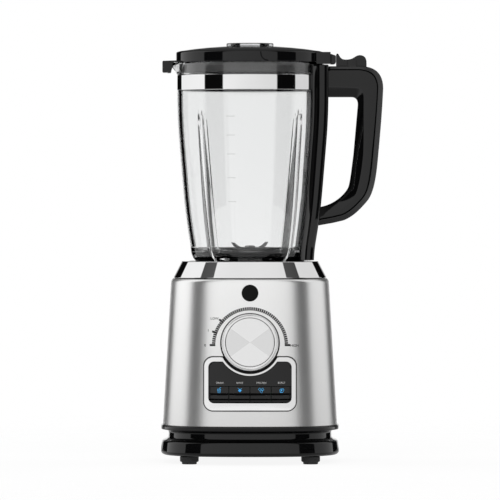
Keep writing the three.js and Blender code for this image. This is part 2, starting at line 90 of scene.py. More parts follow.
def ramp(tree, factor, stops):
    """A colour ramp; each stop is a place and a grey value or a colour."""
    made = node(tree, "ValToRGB", {0: factor})
    points = made.color_ramp.elements
    while len(points) < len(stops):
        points.new(0.5)
    for point, (place, value) in zip(points, stops):
        point.position = place
        point.color = (*value, 1) if isinstance(value, tuple) else (value, value, value, 1)
    return made.outputs[0]


TENT, BOARD, BACKDROP = 0.86, 0.003, 0.97
FRONT_BOARD, REAR_BOARD = (43.6, 75.5), (137.5, 162.5)  # degrees round from the camera


def half_turn(degrees):
    """An angle as a share of half a turn, which is how the ramps below measure it."""
    return degrees / 180


studio = bpy.data.worlds.new("studio")
studio.use_nodes = True
bpy.context.scene.world = studio
tree = studio.node_tree
tree.nodes.clear()
heading = node(tree, "SeparateXYZ", {0: node(tree, "TexCoord").outputs["Generated"]})
turn = math_node(
    tree, "DIVIDE",
    math_node(tree, "ARCTAN2", math_node(tree, "ABSOLUTE", heading.outputs[0]),
              math_node(tree, "MULTIPLY", heading.outputs[1], -1)), math.pi)
behind = ramp(tree, turn, [(0.88, 0), (0.92, 1)])
above = ramp(tree, heading.outputs[2], [(0.07, 0), (0.13, 0.93)])
dimmed = math_node(tree, "SUBTRACT", 1, math_node(tree, "MULTIPLY", behind, above))
around = ramp(tree, turn, [
    (0, TENT), (half_turn(FRONT_BOARD[0] - 1), TENT), (half_turn(FRONT_BOARD[0]), BOARD),
    (half_turn(FRONT_BOARD[1]), BOARD), (half_turn(FRONT_BOARD[1] + 1), TENT),
    (half_turn(REAR_BOARD[0] - 1), TENT), (half_turn(REAR_BOARD[0]), BOARD),
    (half_turn(REAR_BOARD[1]), BOARD), (half_turn(REAR_BOARD[1] + 1), BACKDROP)])
roof = ramp(tree, heading.outputs[2], [(0, 0), (0.55, 0), (0.85, 0.1), (0.97, 0.5)])
below = math_node(tree, "LESS_THAN", heading.outputs[2], -0.2)
sky = math_node(tree, "MAXIMUM", math_node(
    tree, "MAXIMUM", math_node(tree, "MULTIPLY", around, dimmed), roof),
                math_node(tree, "MULTIPLY", below, 0.9))
lean_left = math_node(tree, "MULTIPLY_ADD", heading.outputs[0], -0.15, 1)
sky = math_node(tree, "MULTIPLY", sky, lean_left)
seen = math_node(tree, "MAXIMUM", sky, node(tree, "LightPath").outputs["Is Camera Ray"])
background = node(tree, "Background", {"Color": seen})
tree.links.new(background.outputs[0], node(tree, "OutputWorld").inputs[0])


# ---------------------------------------------------------------- floor
# A white sweep: it glows softly, takes a faint contact shadow and fades into the backdrop. Shiny
# pieces see painted shade on it close by the object, and see the rear boards carried on across it.
def corner_rounded(corners, radius, closed=True, steps=4):
    """Straight lines whose corners are replaced by quadratic curves, each starting a radius
    before its corner P and ending a radius after it: (1-t)^2 A + 2t(1-t) P + t^2 B. A point a
    little outside each end keeps the flat beside it flat when it is shaded."""
    p = np.asarray(corners, float)
    before, after = np.roll(p, 1, 0) - p, np.roll(p, -1, 0) - p
    reach_back = np.linalg.norm(before, axis=1)
    reach_on = np.linalg.norm(after, axis=1)
    cut = np.minimum(radius, 0.45 * np.minimum(reach_back, reach_on))
    if not closed:
        cut[[0, -1]] = 0
    start = p + before * (cut / reach_back)[:, None]
    end = p + after * (cut / reach_on)[:, None]
    t = np.linspace(0, 1, steps + 1)[None, :, None]
    curve = (1 - t) ** 2 * start[:, None] + 2 * t * (1 - t) * p[:, None] + t * t * end[:, None]
    lead = p + before * (np.minimum(1.3 * cut, 0.49 * reach_back) / reach_back)[:, None]
    trail = p + after * (np.minimum(1.3 * cut, 0.49 * reach_on) / reach_on)[:, None]
    return np.concatenate([lead[:, None], curve, trail[:, None]], 1).reshape(-1, 2)


def carried_round(profile, power=2.0, turns=160):
    """A profile of (reach r, height z) carried round the drive axis: (r c, r s, z), where (c, s)
    runs round |c|^power + |s|^power = 1: a circle for 2, a rounded square for more."""
    profile = np.asarray(profile, float)
    angle = np.arange(turns) * 2 * math.pi / turns
    c, s = np.cos(angle)[None], np.sin(angle)[None]
    n = np.broadcast_to(np.asarray(power, float), len(profile))[:, None]
    reach = profile[:, :1] * (np.abs(c) ** n + np.abs(s) ** n) ** (-1 / n)
    height = np.broadcast_to(profile[:, 1:], reach.shape)
    return np.stack([reach * c, reach * s, height], -1)


def quads(grid, wrap_rows=False, wrap_columns=True, caps=False):
    """The corners of a grid and its faces: four neighbours each, joined end to start where it
    wraps, with one face over the first and one over the last row where it has caps."""
    rows, columns = grid.shape[:2]
    i, j = np.meshgrid(np.arange(rows if wrap_rows else rows - 1),
                       np.arange(columns if wrap_columns else columns - 1), indexing="ij")
    up, on = (i + 1) % rows, (j + 1) % columns
    corner = np.stack([i * columns + j, i * columns + on, up * columns + on, up * columns + j], -1)
    faces = corner.reshape(-1, 4).tolist()
    if caps:
        faces += [list(range(columns)), list(range((rows - 1) * columns, rows * columns))]
    return grid.reshape(-1, 3), faces


def joined(*parts):
    """Several (corners, faces) pairs as one."""
    corners, faces, count = [], [], 0
    for points, sides in parts:
        corners.append(points)
        faces += [[count + k for k in side] for side in sides]
        count += len(points)
    return np.concatenate(corners), faces


def raw_mesh(name, parts, crease=32):
    """A mesh in metres in the row's frame: doubles merged, faces outward, creases kept sharp."""
    corners, faces = parts
    mesh = bpy.data.meshes.new(name)
    mesh.from_pydata((corners + AXIS) / 1000, [], faces)
    work = bmesh.new()
    work.from_mesh(mesh)
    bmesh.ops.remove_doubles(work, verts=work.verts, dist=2e-6)
    bmesh.ops.dissolve_degenerate(work, dist=1e-7, edges=work.edges)
    bmesh.ops.recalc_face_normals(work, faces=work.faces)
    work.to_mesh(mesh)
    work.free()
    mesh.shade_smooth()
    mesh.set_sharp_from_angle(angle=math.radians(crease))
    return mesh


def piece(name, body, material, parts, replaces=(), crease=32):
    """One finished piece that rides on a body and stands for some CAD nodes."""
    made = bpy.data.objects.new(name, raw_mesh(name, parts, crease))
    made.data.materials.append(material)
    bpy.context.scene.collection.objects.link(made)
    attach(made, body)
    if replaces:
        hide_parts(*replaces)
    return made


def shader_group(name, inputs, output):
    """A node group with named inputs and one output; returns it and its two end nodes."""
    group = bpy.data.node_groups.new(name, "ShaderNodeTree")
    for key, value in inputs.items():
        kind = "NodeSocketVector" if value is None else "NodeSocketFloat"
        socket = group.interface.new_socket(key, in_out="INPUT", socket_type=kind)
        if value is not None:
            socket.default_value = value
    group.interface.new_socket(output, in_out="OUTPUT", socket_type="NodeSocketFloat")
    return group, group.nodes.new("NodeGroupInput"), group.nodes.new("NodeGroupOutput")


# Cloudy: slow, soft patches between two values, for uneven polish, handling and dust.
cloudy, given, taken = shader_group(
    "cloudy", {"Place": None, "Scale": 30, "Low": 0, "High": 1}, "Value")
noise = node(cloudy, "TexNoise", {"Vector": given.outputs["Place"], "Scale": given.outputs["Scale"],
                                  "Detail": 3, "Roughness": 0.55})
spread = node(cloudy, "MapRange", {"Value": noise.outputs[0], "From Min": 0.3, "From Max": 0.7,
                                   "To Min": given.outputs["Low"], "To Max": given.outputs["High"]})
cloudy.links.new(spread.outputs[0], taken.inputs[0])

# Streaks: fine lines along Z, for brushed metal and drawn plastic.
streaks, given, taken = shader_group(
    "streaks", {"Place": None, "Across": 1500, "Along": 25, "Low": 0, "High": 1}, "Value")
stretch = node(streaks, "CombineXYZ", {0: given.outputs["Across"], 1: given.outputs["Across"],
                                       2: given.outputs["Along"]})
drawn = node(streaks, "VectorMath", {0: given.outputs["Place"], 1: stretch.outputs[0]},
             operation="MULTIPLY")
noise = node(streaks, "TexNoise", {"Vector": drawn.outputs[0], "Scale": 1, "Detail": 2})
spread = node(streaks, "MapRange", {"Value": noise.outputs[0], "From Min": 0.3, "From Max": 0.7,
                                    "To Min": given.outputs["Low"], "To Max": given.outputs["High"]})
streaks.links.new(spread.outputs[0], taken.inputs[0])

# Pores: a very fine even relief, for moulded and cast skins.
pores, given, taken = shader_group("pores", {"Place": None, "Scale": 2500}, "Height")
noise = node(pores, "TexNoise", {"Vector": given.outputs["Place"], "Scale": given.outputs["Scale"],
                                 "Detail": 2, "Roughness": 0.6})
pores.links.new(noise.outputs[0], taken.inputs[0])


def use(tree, group, **inputs):
    """A group placed in a material, reading object coordinates; returns its output."""
    made = tree.nodes.new("ShaderNodeGroup")
    made.node_tree = group
    tree.links.new(node(tree, "TexCoord").outputs["Object"], made.inputs["Place"])
    for key, value in inputs.items():
        made.inputs[key].default_value = value
    return made.outputs[0]


def mixed(tree, factor, first, second):
    """A colour between two, by a value."""
    made = node(tree, "Mix", {0: factor, 6: (*first, 1), 7: (*second, 1)}, data_type="RGBA")
    return made.outputs[2]


def relief(tree, height, depth, strength=1.0):
    """A surface normal from a height; the depth is in metres."""
    return node(tree, "Bump", {"Height": height, "Distance": depth, "Strength": strength}).outputs[0]


def blank(name):
    """An empty material, its tree and its surface shader."""
    material = bpy.data.materials.new(name)
    material.use_nodes = True
    return material, material.node_tree, material.node_tree.nodes["Principled BSDF"]


def finish(name, dark, light, rough, patch=30, pore=None, depth=0.00002, grain=None, **plain):
    """A material: two colours and two roughnesses mixed in soft patches, or along a brushed grain,
    and a fine relief; the plain values go straight to the shader's own sockets."""
    material, tree, shader = blank(name)
    if grain:
        shade = use(tree, streaks, Across=grain[0], Along=grain[1])
    else:
        shade = use(tree, cloudy, Scale=patch)
    tree.links.new(mixed(tree, shade, dark, light), shader.inputs["Base Color"])
    tree.links.new(use(tree, cloudy, Scale=patch * 0.6, Low=rough[0], High=rough[1]),
                   shader.inputs["Roughness"])
    if pore:
        tree.links.new(relief(tree, use(tree, pores, Scale=pore), depth), shader.inputs["Normal"])
    for key, value in plain.items():
        shader.inputs[key.replace("_", " ")].default_value = value
    return material


FLOOR_RADIUS = 1.6
sweep = bpy.data.materials.new("white_sweep")
sweep.use_nodes = True
tree = sweep.node_tree
tree.nodes.clear()
place = node(tree, "TexCoord").outputs["Object"]
away = node(tree, "VectorMath", {0: place}, operation="LENGTH").outputs["Value"]
fade = node(tree, "MapRange", {"Value": away, "From Min": 0.35, "From Max": 1.3},
            interpolation_type="SMOOTHSTEP").outputs[0]
paper = node(tree, "BsdfDiffuse", {"Color": (0.16, 0.16, 0.16, 1)})
reflected = node(tree, "LightPath").outputs["Is Glossy Ray"]
# Seen in reflections, the sweep's glow is dimmed near the object: painted shade.
painted_near_shade = node(tree, "MapRange", {"Value": away, "From Min": 0.3, "From Max": 0.5, "To Min": 0.6,
                                "To Max": 0}).outputs[0]
spot = node(tree, "SeparateXYZ", {0: place})
spread = math_node(tree, "DIVIDE", math_node(
    tree, "ARCTAN2", math_node(tree, "ABSOLUTE", spot.outputs[0]), spot.outputs[1]), math.pi)
board_from, board_to = 180 - REAR_BOARD[1], 180 - REAR_BOARD[0]
board = ramp(tree, spread, [(0, 0), (half_turn(board_from - 1), 0), (half_turn(board_from), 0.92),
                            (half_turn(board_to), 0.92), (half_turn(board_to + 1), 0)])
through = node(tree, "LightPath").outputs["Is Transmission Ray"]
indirect = math_node(tree, "MAXIMUM", reflected, through)
board = math_node(tree, "MULTIPLY", board, node(tree, "MapRange", {
    "Value": away, "From Min": 0.3, "From Max": 0.42}).outputs[0])
strength = math_node(tree, "SUBTRACT", 1, math_node(tree, "MAXIMUM", math_node(
    tree, "MULTIPLY", reflected, painted_near_shade), math_node(tree, "MULTIPLY", indirect, board)))
glow = node(tree, "Emission", {"Color": mixed(tree, use(tree, cloudy, Scale=2), (0.9, 0.9, 0.9),
                                              (0.905, 0.905, 0.905)), "Strength": strength})
both = node(tree, "AddShader", {0: paper.outputs[0], 1: glow.outputs[0]})
faded = node(tree, "MixShader", {0: fade, 1: both.outputs[0],
                                 2: node(tree, "BsdfTransparent").outputs[0]})
tree.links.new(faded.outputs[0], node(tree, "OutputMaterial").inputs[0])
disc = np.stack([np.linspace(0, FLOOR_RADIUS * 1000, 12), np.full(12, -0.05)], -1)
floor = bpy.data.objects.new("floor", raw_mesh("floor", quads(carried_round(disc, 2, 64))))
floor.data.materials.append(sweep)
bpy.context.scene.collection.objects.link(floor)

# ---------------------------------------------------------------- feet
# Four rubber feet pressed into the tray. Each has a wide collar against the tray and a narrower
# pad below it.
rubber = finish("moulded_rubber", (0.012, 0.012, 0.012), (0.02, 0.02, 0.021), (0.6, 0.75),
                pore=2500, depth=0.00004)
FOOT_PLACE = 61
foot_line = corner_rounded([(0, 0), (7.4, 0), (7.5, 2.1), (9.4, 2.8), (9.5, 7.9), (0, 7.9)],
                           0.7, closed=False)
for side, x in (("left", -1), ("right", 1)):
    for end, y in (("front", -1), ("rear", 1)):
        foot = carried_round(foot_line, 2, 64) + (FOOT_PLACE * x, FOOT_PLACE * y, 0)
        piece(f"{end}_{side}_rubber_foot", "base", rubber, quads(foot),
              [f"{end}_{side}_foot"])

# ---------------------------------------------------------------- bottom tray
# A gloss black moulding that closes the base from below. It is held by four screws and has seven
# slots for cooling air.
gloss_black = finish("gloss_black", (0.003, 0.003, 0.0032), (0.004, 0.004, 0.0043), (0.015, 0.05),
                     patch=12, pore=300, depth=0.000001, Specular_IOR_Level=0.41)
SQUARE = 2.8
SCREW_PLACE = (44, 64)


def cut_by(target, tools):
    """Cuts closed meshes out of a piece, one by one, and keeps its creases."""
    for number, parts in enumerate(tools):
        tool = bpy.data.objects.new("tool", raw_mesh("tool", parts))
        bpy.context.scene.collection.objects.link(tool)
        step = target.modifiers.new("cut", "BOOLEAN")
        step.operation = "DIFFERENCE"
        step.solver = "EXACT"
        step.object = tool
        bpy.context.view_layer.update()
        seen = target.evaluated_get(bpy.context.evaluated_depsgraph_get())
        result = bpy.data.meshes.new_from_object(seen)
        target.modifiers.remove(step)
        target.data = result
        bpy.data.objects.remove(tool)
    work = bmesh.new()
    work.from_mesh(target.data)
    bmesh.ops.remove_doubles(work, verts=work.verts, dist=2e-6)
    bmesh.ops.dissolve_degenerate(work, dist=1e-7, edges=work.edges)
    work.to_mesh(target.data)
    work.free()
    target.data.shade_smooth()
    target.data.set_sharp_from_angle(angle=math.radians(32))


def box(x, y, z):
    """A closed box between two places along each axis, with its corners as two square rows."""
    ring = np.array([[x[0], y[0]], [x[1], y[0]], [x[1], y[1]], [x[0], y[1]]], float)
    rows = np.stack([np.c_[ring, np.full(4, height)] for height in z])
    return quads(rows, caps=True)


tray_line = corner_rounded(
    [(0, 8.2), (88.2, 8.2), (90.4, 10.4), (90.2, 14), (89.5, 21.4), (88.5, 22.6), (75, 22.6),
     (75, 20.4), (84, 20.4), (86, 12), (0, 12)], 1.2, closed=False)
tray = piece("tray", "base", gloss_black, quads(carried_round(tray_line, SQUARE, 224)),
             ["bottom_cover"])
slots = [box((-30, 30), (8 * k - 26, 8 * k - 22), (0, 14)) for k in range(7)]
holes = [quads(carried_round([(0, 0), (3.9, 0), (3.9, 10.2), (2, 10.2), (2, 14), (0, 14)], 2, 32)
               + (SCREW_PLACE[0] * x, SCREW_PLACE[1] * y, 0)) for x in (-1, 1) for y in (-1, 1)]
cut_by(tray, [joined(*slots), joined(*holes)])

# ---------------------------------------------------------------- plinth
# The gloss black skirt between the tray and the metal housing: a hollow neck that flares into a
# lip under the housing's edge.
plinth_line = corner_rounded(
    [(77, 22.9), (87.4, 22.9), (84.6, 23.8), (82.9, 25.8), (82.6, 31.6), (84.4, 33), (90.2, 33.9),
     (90.4, 37.6), (89.6, 38.3), (84, 38.3), (77, 30)],
    np.array([0.2, 0.3, 1, 1, 1, 1, 0.7, 0.7, 0.5, 0.3, 0.3]), steps=5)
piece("skirt", "base", gloss_black,
      quads(carried_round(plinth_line, SQUARE, 224), wrap_rows=True), ["plinth"])

# ---------------------------------------------------------------- housing
# One deep-drawn shell of satin stainless steel with an upright brushed grain, pressed in at the
# front for the control frame and open behind it.
satin, tree, shader = blank("satin_steel")
height = node(tree, "SeparateXYZ", {0: node(tree, "TexCoord").outputs["Object"]}).outputs[2]
climb = node(tree, "MapRange", {"Value": height, "From Min": 0.04, "From Max": 0.185}).outputs[0]
# The steel's base colour runs from darker at the bottom of the shell to lighter near its top: painted
# shade.
painted_shade_tone = mixed(tree, climb, (0.8, 0.8, 0.795), (0.99, 0.99, 0.985))
brushed = use(tree, streaks, Across=1400, Along=120, Low=0.985, High=1.0)
brushed_painted_shade = node(tree, "VectorMath", {0: painted_shade_tone, 3: brushed}, operation="SCALE").outputs[0]
tree.links.new(brushed_painted_shade, shader.inputs["Base Color"])
tree.links.new(use(tree, streaks, Across=900, Along=200, Low=0.3, High=0.32),
               shader.inputs["Roughness"])
tree.links.new(relief(tree, use(tree, pores, Scale=1800), 0.0000008), shader.inputs["Normal"])
shader.inputs["Metallic"].default_value = 1
HOUSING = {"low": 38.5, "shoulder": 180, "half_low": 88.4, "half_high": 80.3, "wall": 2.5}
FACE_Z = 122.5
LEAN = math.atan2(HOUSING["half_low"] - HOUSING["half_high"],
                  HOUSING["shoulder"] - HOUSING["low"])


def front(u, v, w):
    """A point on the curved front: u across, v up along the face from the dial's middle, w out of
    it. Height z = 122.5 + v cos(lean); y = -((half(z) + w)^2.8 - |u|^2.8)^(1/2.8)."""
    u, v, w = np.broadcast_arrays(np.asarray(u, float), v, w)
    z = FACE_Z + v * math.cos(LEAN)
    half = HOUSING["half_low"] - (z - HOUSING["low"]) * math.tan(LEAN) + w
    return np.stack([u, -(half ** SQUARE - np.abs(u) ** SQUARE) ** (1 / SQUARE), z], -1)


def strip(u, low, high, section):
    """A bar that crosses the front: at each u its section runs round as v = low + a or high - a
    at height w out of the face. Its two ends are closed flat."""
    low, high = np.broadcast_to(low, u.shape), np.broadcast_to(high, u.shape)
    middle = (low + high) / 2
    columns = [front(u, np.minimum(low + a, middle) if edge < 0 else np.maximum(high - a, middle), w)
               for edge, a, w in section]
    return quads(np.stack(columns, 1), caps=True)


def across(half, count=70):
    """Places across a width, closer together towards both ends: u = half sin(t)."""
    return half * np.sin(np.linspace(-math.pi / 2, math.pi / 2, count))


def bottom_edge(u, half, low, corner):
    """The lower edge of a rectangle with round corners, as v against u."""
    inside = np.clip(np.abs(u) - (half - corner), 0, corner)
    return low + corner - np.sqrt(corner ** 2 - inside ** 2)


def top_edge(u, half, high, corner, arc):
    """The upper edge, with round corners and the notch that a circle round the dial cuts."""
    inside = np.clip(np.abs(u) - (half - corner), 0, corner)
    plain = high - corner + np.sqrt(corner ** 2 - inside ** 2)
    return np.minimum(plain, np.where(np.abs(u) < arc, -np.sqrt(
        np.maximum(arc ** 2 - u ** 2, 0)), plain))


FRAME = {"half": 46.1, "low": -67.9, "high": -14.2, "corner": 9, "arc": 30.8}
PANEL = {"half": 41.5, "low": -60.2, "high": -18.9, "corner": 5.5, "arc": 33.2}


def edges(shape, grow=0.0, count=90):
    """Places across a notched plate and its lower and upper edges there, grown all round."""
    half, corner = shape["half"] + grow, shape["corner"] + grow
    arc = shape["arc"] - grow
    notch = math.sqrt(arc ** 2 - (shape["high"] + grow) ** 2)
    u = np.unique(np.round(np.r_[across(half, count), notch, -notch], 4))
    return (u, bottom_edge(u, half, shape["low"] - grow, corner),
            top_edge(u, half, shape["high"] + grow, corner, arc))


shell_line = corner_rounded(
    [(88.4, 38.5), (80.3, 180), (80.0, 184), (77.7, 186.6), (30, 186.6), (30, 182.7), (74.3, 182.7),
     (77.8, 178), (85.9, 38.5)], np.array([0.3, 6, 2, 2, 0.5, 0.5, 2, 2, 0.3]))
housing = piece("housing_shell", "base", satin,
                quads(carried_round(shell_line, SQUARE, 288), wrap_rows=True),
                ["base_housing"])
hole = ((-1, 0, -1.5), (-1, 0, 12), (1, 0, 12), (1, 0, -1.5))
through = ((-1, 0, -9), (-1, 0, 4), (1, 0, 4), (1, 0, -9))


def dial_place(points):
    """Points of a piece turned about the dial's axis: x across, y up the face, z out of it."""
    origin = front(0, 0, 0)
    across_, up = np.array([1.0, 0, 0]), np.array([0, math.sin(LEAN), math.cos(LEAN)])
    out = np.array([0, -math.cos(LEAN), math.sin(LEAN)])
    return origin + points[..., :1] * across_ + points[..., 1:2] * up + points[..., 2:] * out


spindle_hole = quads(dial_place(carried_round([(0, -8), (4, -8), (4, 8), (0, 8)], 2, 48)))
cord_hole = carried_round([(0, 70), (8.3, 70), (8.3, 100), (0, 100)], 2, 48)[..., [0, 2, 1]]
cut_by(housing, [strip(*edges(FRAME, 1.0), hole), strip(*edges(PANEL, 0.3), through),
                 spindle_hole, quads(cord_hole + (0, 0, 52))])

# ---------------------------------------------------------------- cord inlet
# A rubber bush in the back of the housing where the mains cord would enter.
inlet_line = corner_rounded([(4, 0), (8, 0), (8, 9.4), (9.5, 9.4), (9.5, 10.8), (4, 11.4)], 0.5)
inlet = carried_round(inlet_line, 2, 64)[..., [0, 2, 1]] + (0, 79, 52)
piece("inlet_bush", "base", rubber, quads(inlet, wrap_rows=True), ["cord_inlet"])

# ---------------------------------------------------------------- collar and jar seat
# A polished collar tapers from the housing to the jar. A matt black dish inside it carries the
# jar's foot.
polished = finish("polished_steel", (0.86, 0.86, 0.86), (0.9, 0.9, 0.9), (0.02, 0.05), patch=20,
                  pore=200, depth=0.000002, Metallic=1)
matt_black = finish("matt_black", (0.014, 0.014, 0.014), (0.02, 0.02, 0.02), (0.45, 0.6),
                    pore=2000, depth=0.00003)
collar_line = corner_rounded([(61.8, 187.3), (78.3, 187.3), (69.8, 203.4), (69.2, 203.8),
                              (61.8, 203.8)], 0.4)
squareness = np.where(collar_line[:, 0] < 62.5, 2.0, SQUARE)
piece("polished_collar", "base", polished,
      quads(carried_round(collar_line, squareness, 256), wrap_rows=True), ["top_collar"])
seat_line = corner_rounded([(12.5, 186.2), (61.4, 186.2), (61.4, 201.9), (59.2, 201.9),
                            (58.6, 189.6), (12.5, 189.6)], 0.5)
piece("seat_dish", "base", matt_black, quads(carried_round(seat_line), wrap_rows=True),
      ["jar_seat"])

# ---------------------------------------------------------------- control frame
# A bright die-cast surround that follows the curved front. Its top edge is hollowed round the
# dial, and its face rises from a thin outer edge to a lip round the black panel.
def loop(shape, grow=0.0, side=22, turn=9, arc=40):
    """The outline of a notched plate as (u, v), anticlockwise from the lower left corner, with the
    same count of points along each stretch whatever its size."""
    half, low, high = shape["half"] + grow, shape["low"] - grow, shape["high"] + grow
    corner, notch = shape["corner"] + grow, shape["arc"] - grow
    bite = math.atan2(-high, math.sqrt(notch ** 2 - high ** 2))

    def bend(u, v, start, end, radius=corner, count=turn):
        angle = np.linspace(start, end, count)
        return np.c_[u + radius * np.cos(angle), v + radius * np.sin(angle)]

    pi, x, gate = math.pi, half - corner, notch * math.cos(bite)
    floor_line = np.c_[np.linspace(-x, x, side), np.full(side, low)][1:-1]
    ledge = np.linspace(x, gate, 6)[1:-1]
    return np.concatenate([
        bend(-x, low + corner, -pi, -pi / 2), floor_line, bend(x, low + corner, -pi / 2, 0),
        bend(x, high - corner, 0, pi / 2), np.c_[ledge, np.full(4, high)],
        bend(0, 0, -bite, bite - pi, notch, arc),
        np.c_[-ledge[::-1], np.full(4, high)], bend(-x, high - corner, pi / 2, pi)])


# Each ring of points: plate, growth, height out of the face, and how much more of it there is at
# the two sides, where the surround is flatter than the housing.
rings = [(FRAME, 0, -1.1, 0), (FRAME, 0, 1.7, 2.2), (FRAME, -0.12, 2.15, 2.4),
         (FRAME, -0.3, 2.32, 2.45), (FRAME, -0.5, 2.36, 2.45), (PANEL, 0.8, 2.5, 2.0),
         (PANEL, 0.6, 2.52, 2.0), (PANEL, 0.3, 2.48, 1.95), (PANEL, 0.1, 2.2, 1.9),
         (PANEL, 0.02, 1.6, 1.8), (PANEL, 0.02, -1.1, 0)]
surround = np.stack([
    front(*loop(shape, grow).T, w + more * (loop(shape, grow)[:, 0] / FRAME["half"]) ** 2)
    for shape, grow, w, more in rings])
piece("control_surround", "base", polished, quads(surround, wrap_rows=True), ["control_frame"],
      crease=50)
# A matt black ring fills the gap round the surround, so that the gap shows as a dark line: painted shade
# for the shadow in that gap.
gap_shade_rings = ((0.04, -1.4), (0.95, -1.4), (0.95, -0.1), (0.5, 0.15), (0.04, 0.15))
seal = np.stack([front(*loop(FRAME, grow).T, w) for grow, w in gap_shade_rings])
piece("frame_gap_shade", "base", matt_black, quads(seal, wrap_rows=True))

# ---------------------------------------------------------------- panel and keys
# A gloss black panel carries the words; four keys below it share one long grip ridge. They move
# straight in.
panel_u, _, panel_top = edges(PANEL, -0.3)
rounded_edge = ((-1, 0, -2), (-1, 0, 1.3), (-1, 0.15, 1.55), (-1, 0.5, 1.6), (1, 6, 1.6),
                (1, 0.5, 1.6), (1, 0.15, 1.5), (1, 0, 1.2), (1, 0, -2))
piece("word_panel", "base", gloss_black, strip(panel_u, -43.4, panel_top, rounded_edge),
      ["control_panel"])
KEY_EDGES = (-41.1, -21.2, 0, 21.2, 41.1)
KEY_LOW, KEY_HIGH = -59.9, -43.8
KEYS = ("smoothie", "clean", "ice", "pulse")
# The key's face from its upper edge down: a flat for the sign, a groove, the ridge and a lower lip.
key_line = corner_rounded(
    [(-48.2, -1.5), (KEY_HIGH, -1.5), (KEY_HIGH, 1.6), (-50.4, 1.6), (-50.9, 0), (-53.2, 2.0),
     (-55.8, 2.1), (-56.0, -0.4), (-57.8, 0.8), (-58.8, 0.8), (-59.4, 0.2), (KEY_LOW, -0.3),
     (KEY_LOW, -1.5)], 0.25, steps=3)
for name, left, right in zip(KEYS, KEY_EDGES, KEY_EDGES[1:]):
    left, right = left + 0.4, right - 0.4
    share = np.sin(np.linspace(0, math.pi / 2, 14))
    u = np.unique(np.r_[left + (1 - share) * 4, np.linspace(left + 4, right - 4, 12),
                        right - (1 - share) * 4])
    low = bottom_edge(u, PANEL["half"] - 0.3, KEY_LOW, 5.2)
    v = np.maximum(key_line[None, :, 0], low[:, None])
    sink = np.where(np.abs(u[:, None]) > 39.5, 1, 0) * np.maximum(key_line[None, :, 1] - 1.4, 0)
    w = key_line[None, :, 1] - sink
    stem_x = (left + right) / 2
    key = joined(quads(front(u[:, None], v, w), caps=True),
                 quads(dial_place(np.stack([np.array(
                     [[stem_x + a, b, c] for a, b in ((-3, -54.2), (3, -54.2), (3, -48.2), (-3, -48.2))])
                     for c in (-8, -3.5)])), caps=True))
    piece(f"{name}_key", f"{name}_button_body", gloss_black, key, [f"{name}_button"])

# ---------------------------------------------------------------- words and signs
# White words are printed on the panel, black numbers, words and ticks on the steel, and each key
# has a small blue sign lit from behind.
white_print = finish("white_print", (0.62, 0.62, 0.62), (0.72, 0.72, 0.72), (0.4, 0.5), patch=900)
black_print = finish("black_print", (0.003, 0.003, 0.003), (0.005, 0.005, 0.005), (0.4, 0.5),
                     patch=900, Specular_IOR_Level=0.1)
lit_blue = finish("lit_blue", (0.004, 0.1, 0.32), (0.02, 0.3, 0.6), (0.3, 0.4), patch=900)
tree = lit_blue.node_tree
glow = mixed(tree, use(tree, cloudy, Scale=700), (0.01, 0.22, 0.6), (0.12, 0.62, 1))
tree.links.new(glow, tree.nodes["Principled BSDF"].inputs["Emission Color"])
tree.nodes["Principled BSDF"].inputs["Emission Strength"].default_value = 0.75


def word(text, u, v, size, w, spacing=1.0, bold=0.0):
    """A word as thin raised letters, centred at (u, v) on the curved front, base height w."""
    curve = bpy.data.curves.new(text, "FONT")
    curve.body, curve.size, curve.extrude = text, size, 0.05
    curve.align_x, curve.align_y, curve.space_character = "CENTER", "CENTER", spacing
    curve.resolution_u, curve.offset = 3, bold
    lettering = bpy.data.objects.new(text, curve)
    bpy.context.scene.collection.objects.link(lettering)
    flat = bpy.data.meshes.new_from_object(lettering)
    bpy.data.objects.remove(lettering)
    place = np.zeros(len(flat.vertices) * 3)
    flat.vertices.foreach_get("co", place)
    place = place.reshape(-1, 3)
    faces = [list(face.vertices) for face in flat.polygons]
    return front(place[:, 0] + u, place[:, 1] + v, place[:, 2] + w + 0.05), faces


words = [word(text, u, -40, 2.5, 1.6, 1.05) for text, u in (
    ("DRINK", -30.2), ("RINSE", -10.2), ("FROZEN", 11.4), ("BURST", 31.6))]
piece("panel_words", "base", white_print, joined(*words))


def bar(path, width, w, closed=False, thick=0.12):
    """A flat raised line along a path of (u, v) on the front: at each point the section is a
    rectangle across the path's own direction."""
    path = np.asarray(path, float)
    if closed:
        way = np.roll(path, -1, 0) - np.roll(path, 1, 0)
    else:
        way = np.gradient(path, axis=0)
    way /= np.linalg.norm(way, axis=1)[:, None]
    side = np.c_[-way[:, 1], way[:, 0]] * width / 2
    corners = [(path + side, w), (path - side, w), (path - side, w + thick), (path + side, w + thick)]
    grid = np.stack([front(p[:, 0], p[:, 1], h) for p, h in corners], 1)
    return quads(grid, wrap_rows=closed, caps=not closed)


def circle(u, v, radius, start=0.0, end=360.0, count=24, grow=0.0):
    """Points round (u, v) between two angles; the radius changes by grow on the way."""
    angle = np.radians(np.linspace(start, end, count))
    reach = radius + grow * np.linspace(0, 1, count)
    return np.c_[u + reach * np.cos(angle), v + reach * np.sin(angle)]


def moved(points, u, v):
    return np.asarray(points, float) + (u, v)


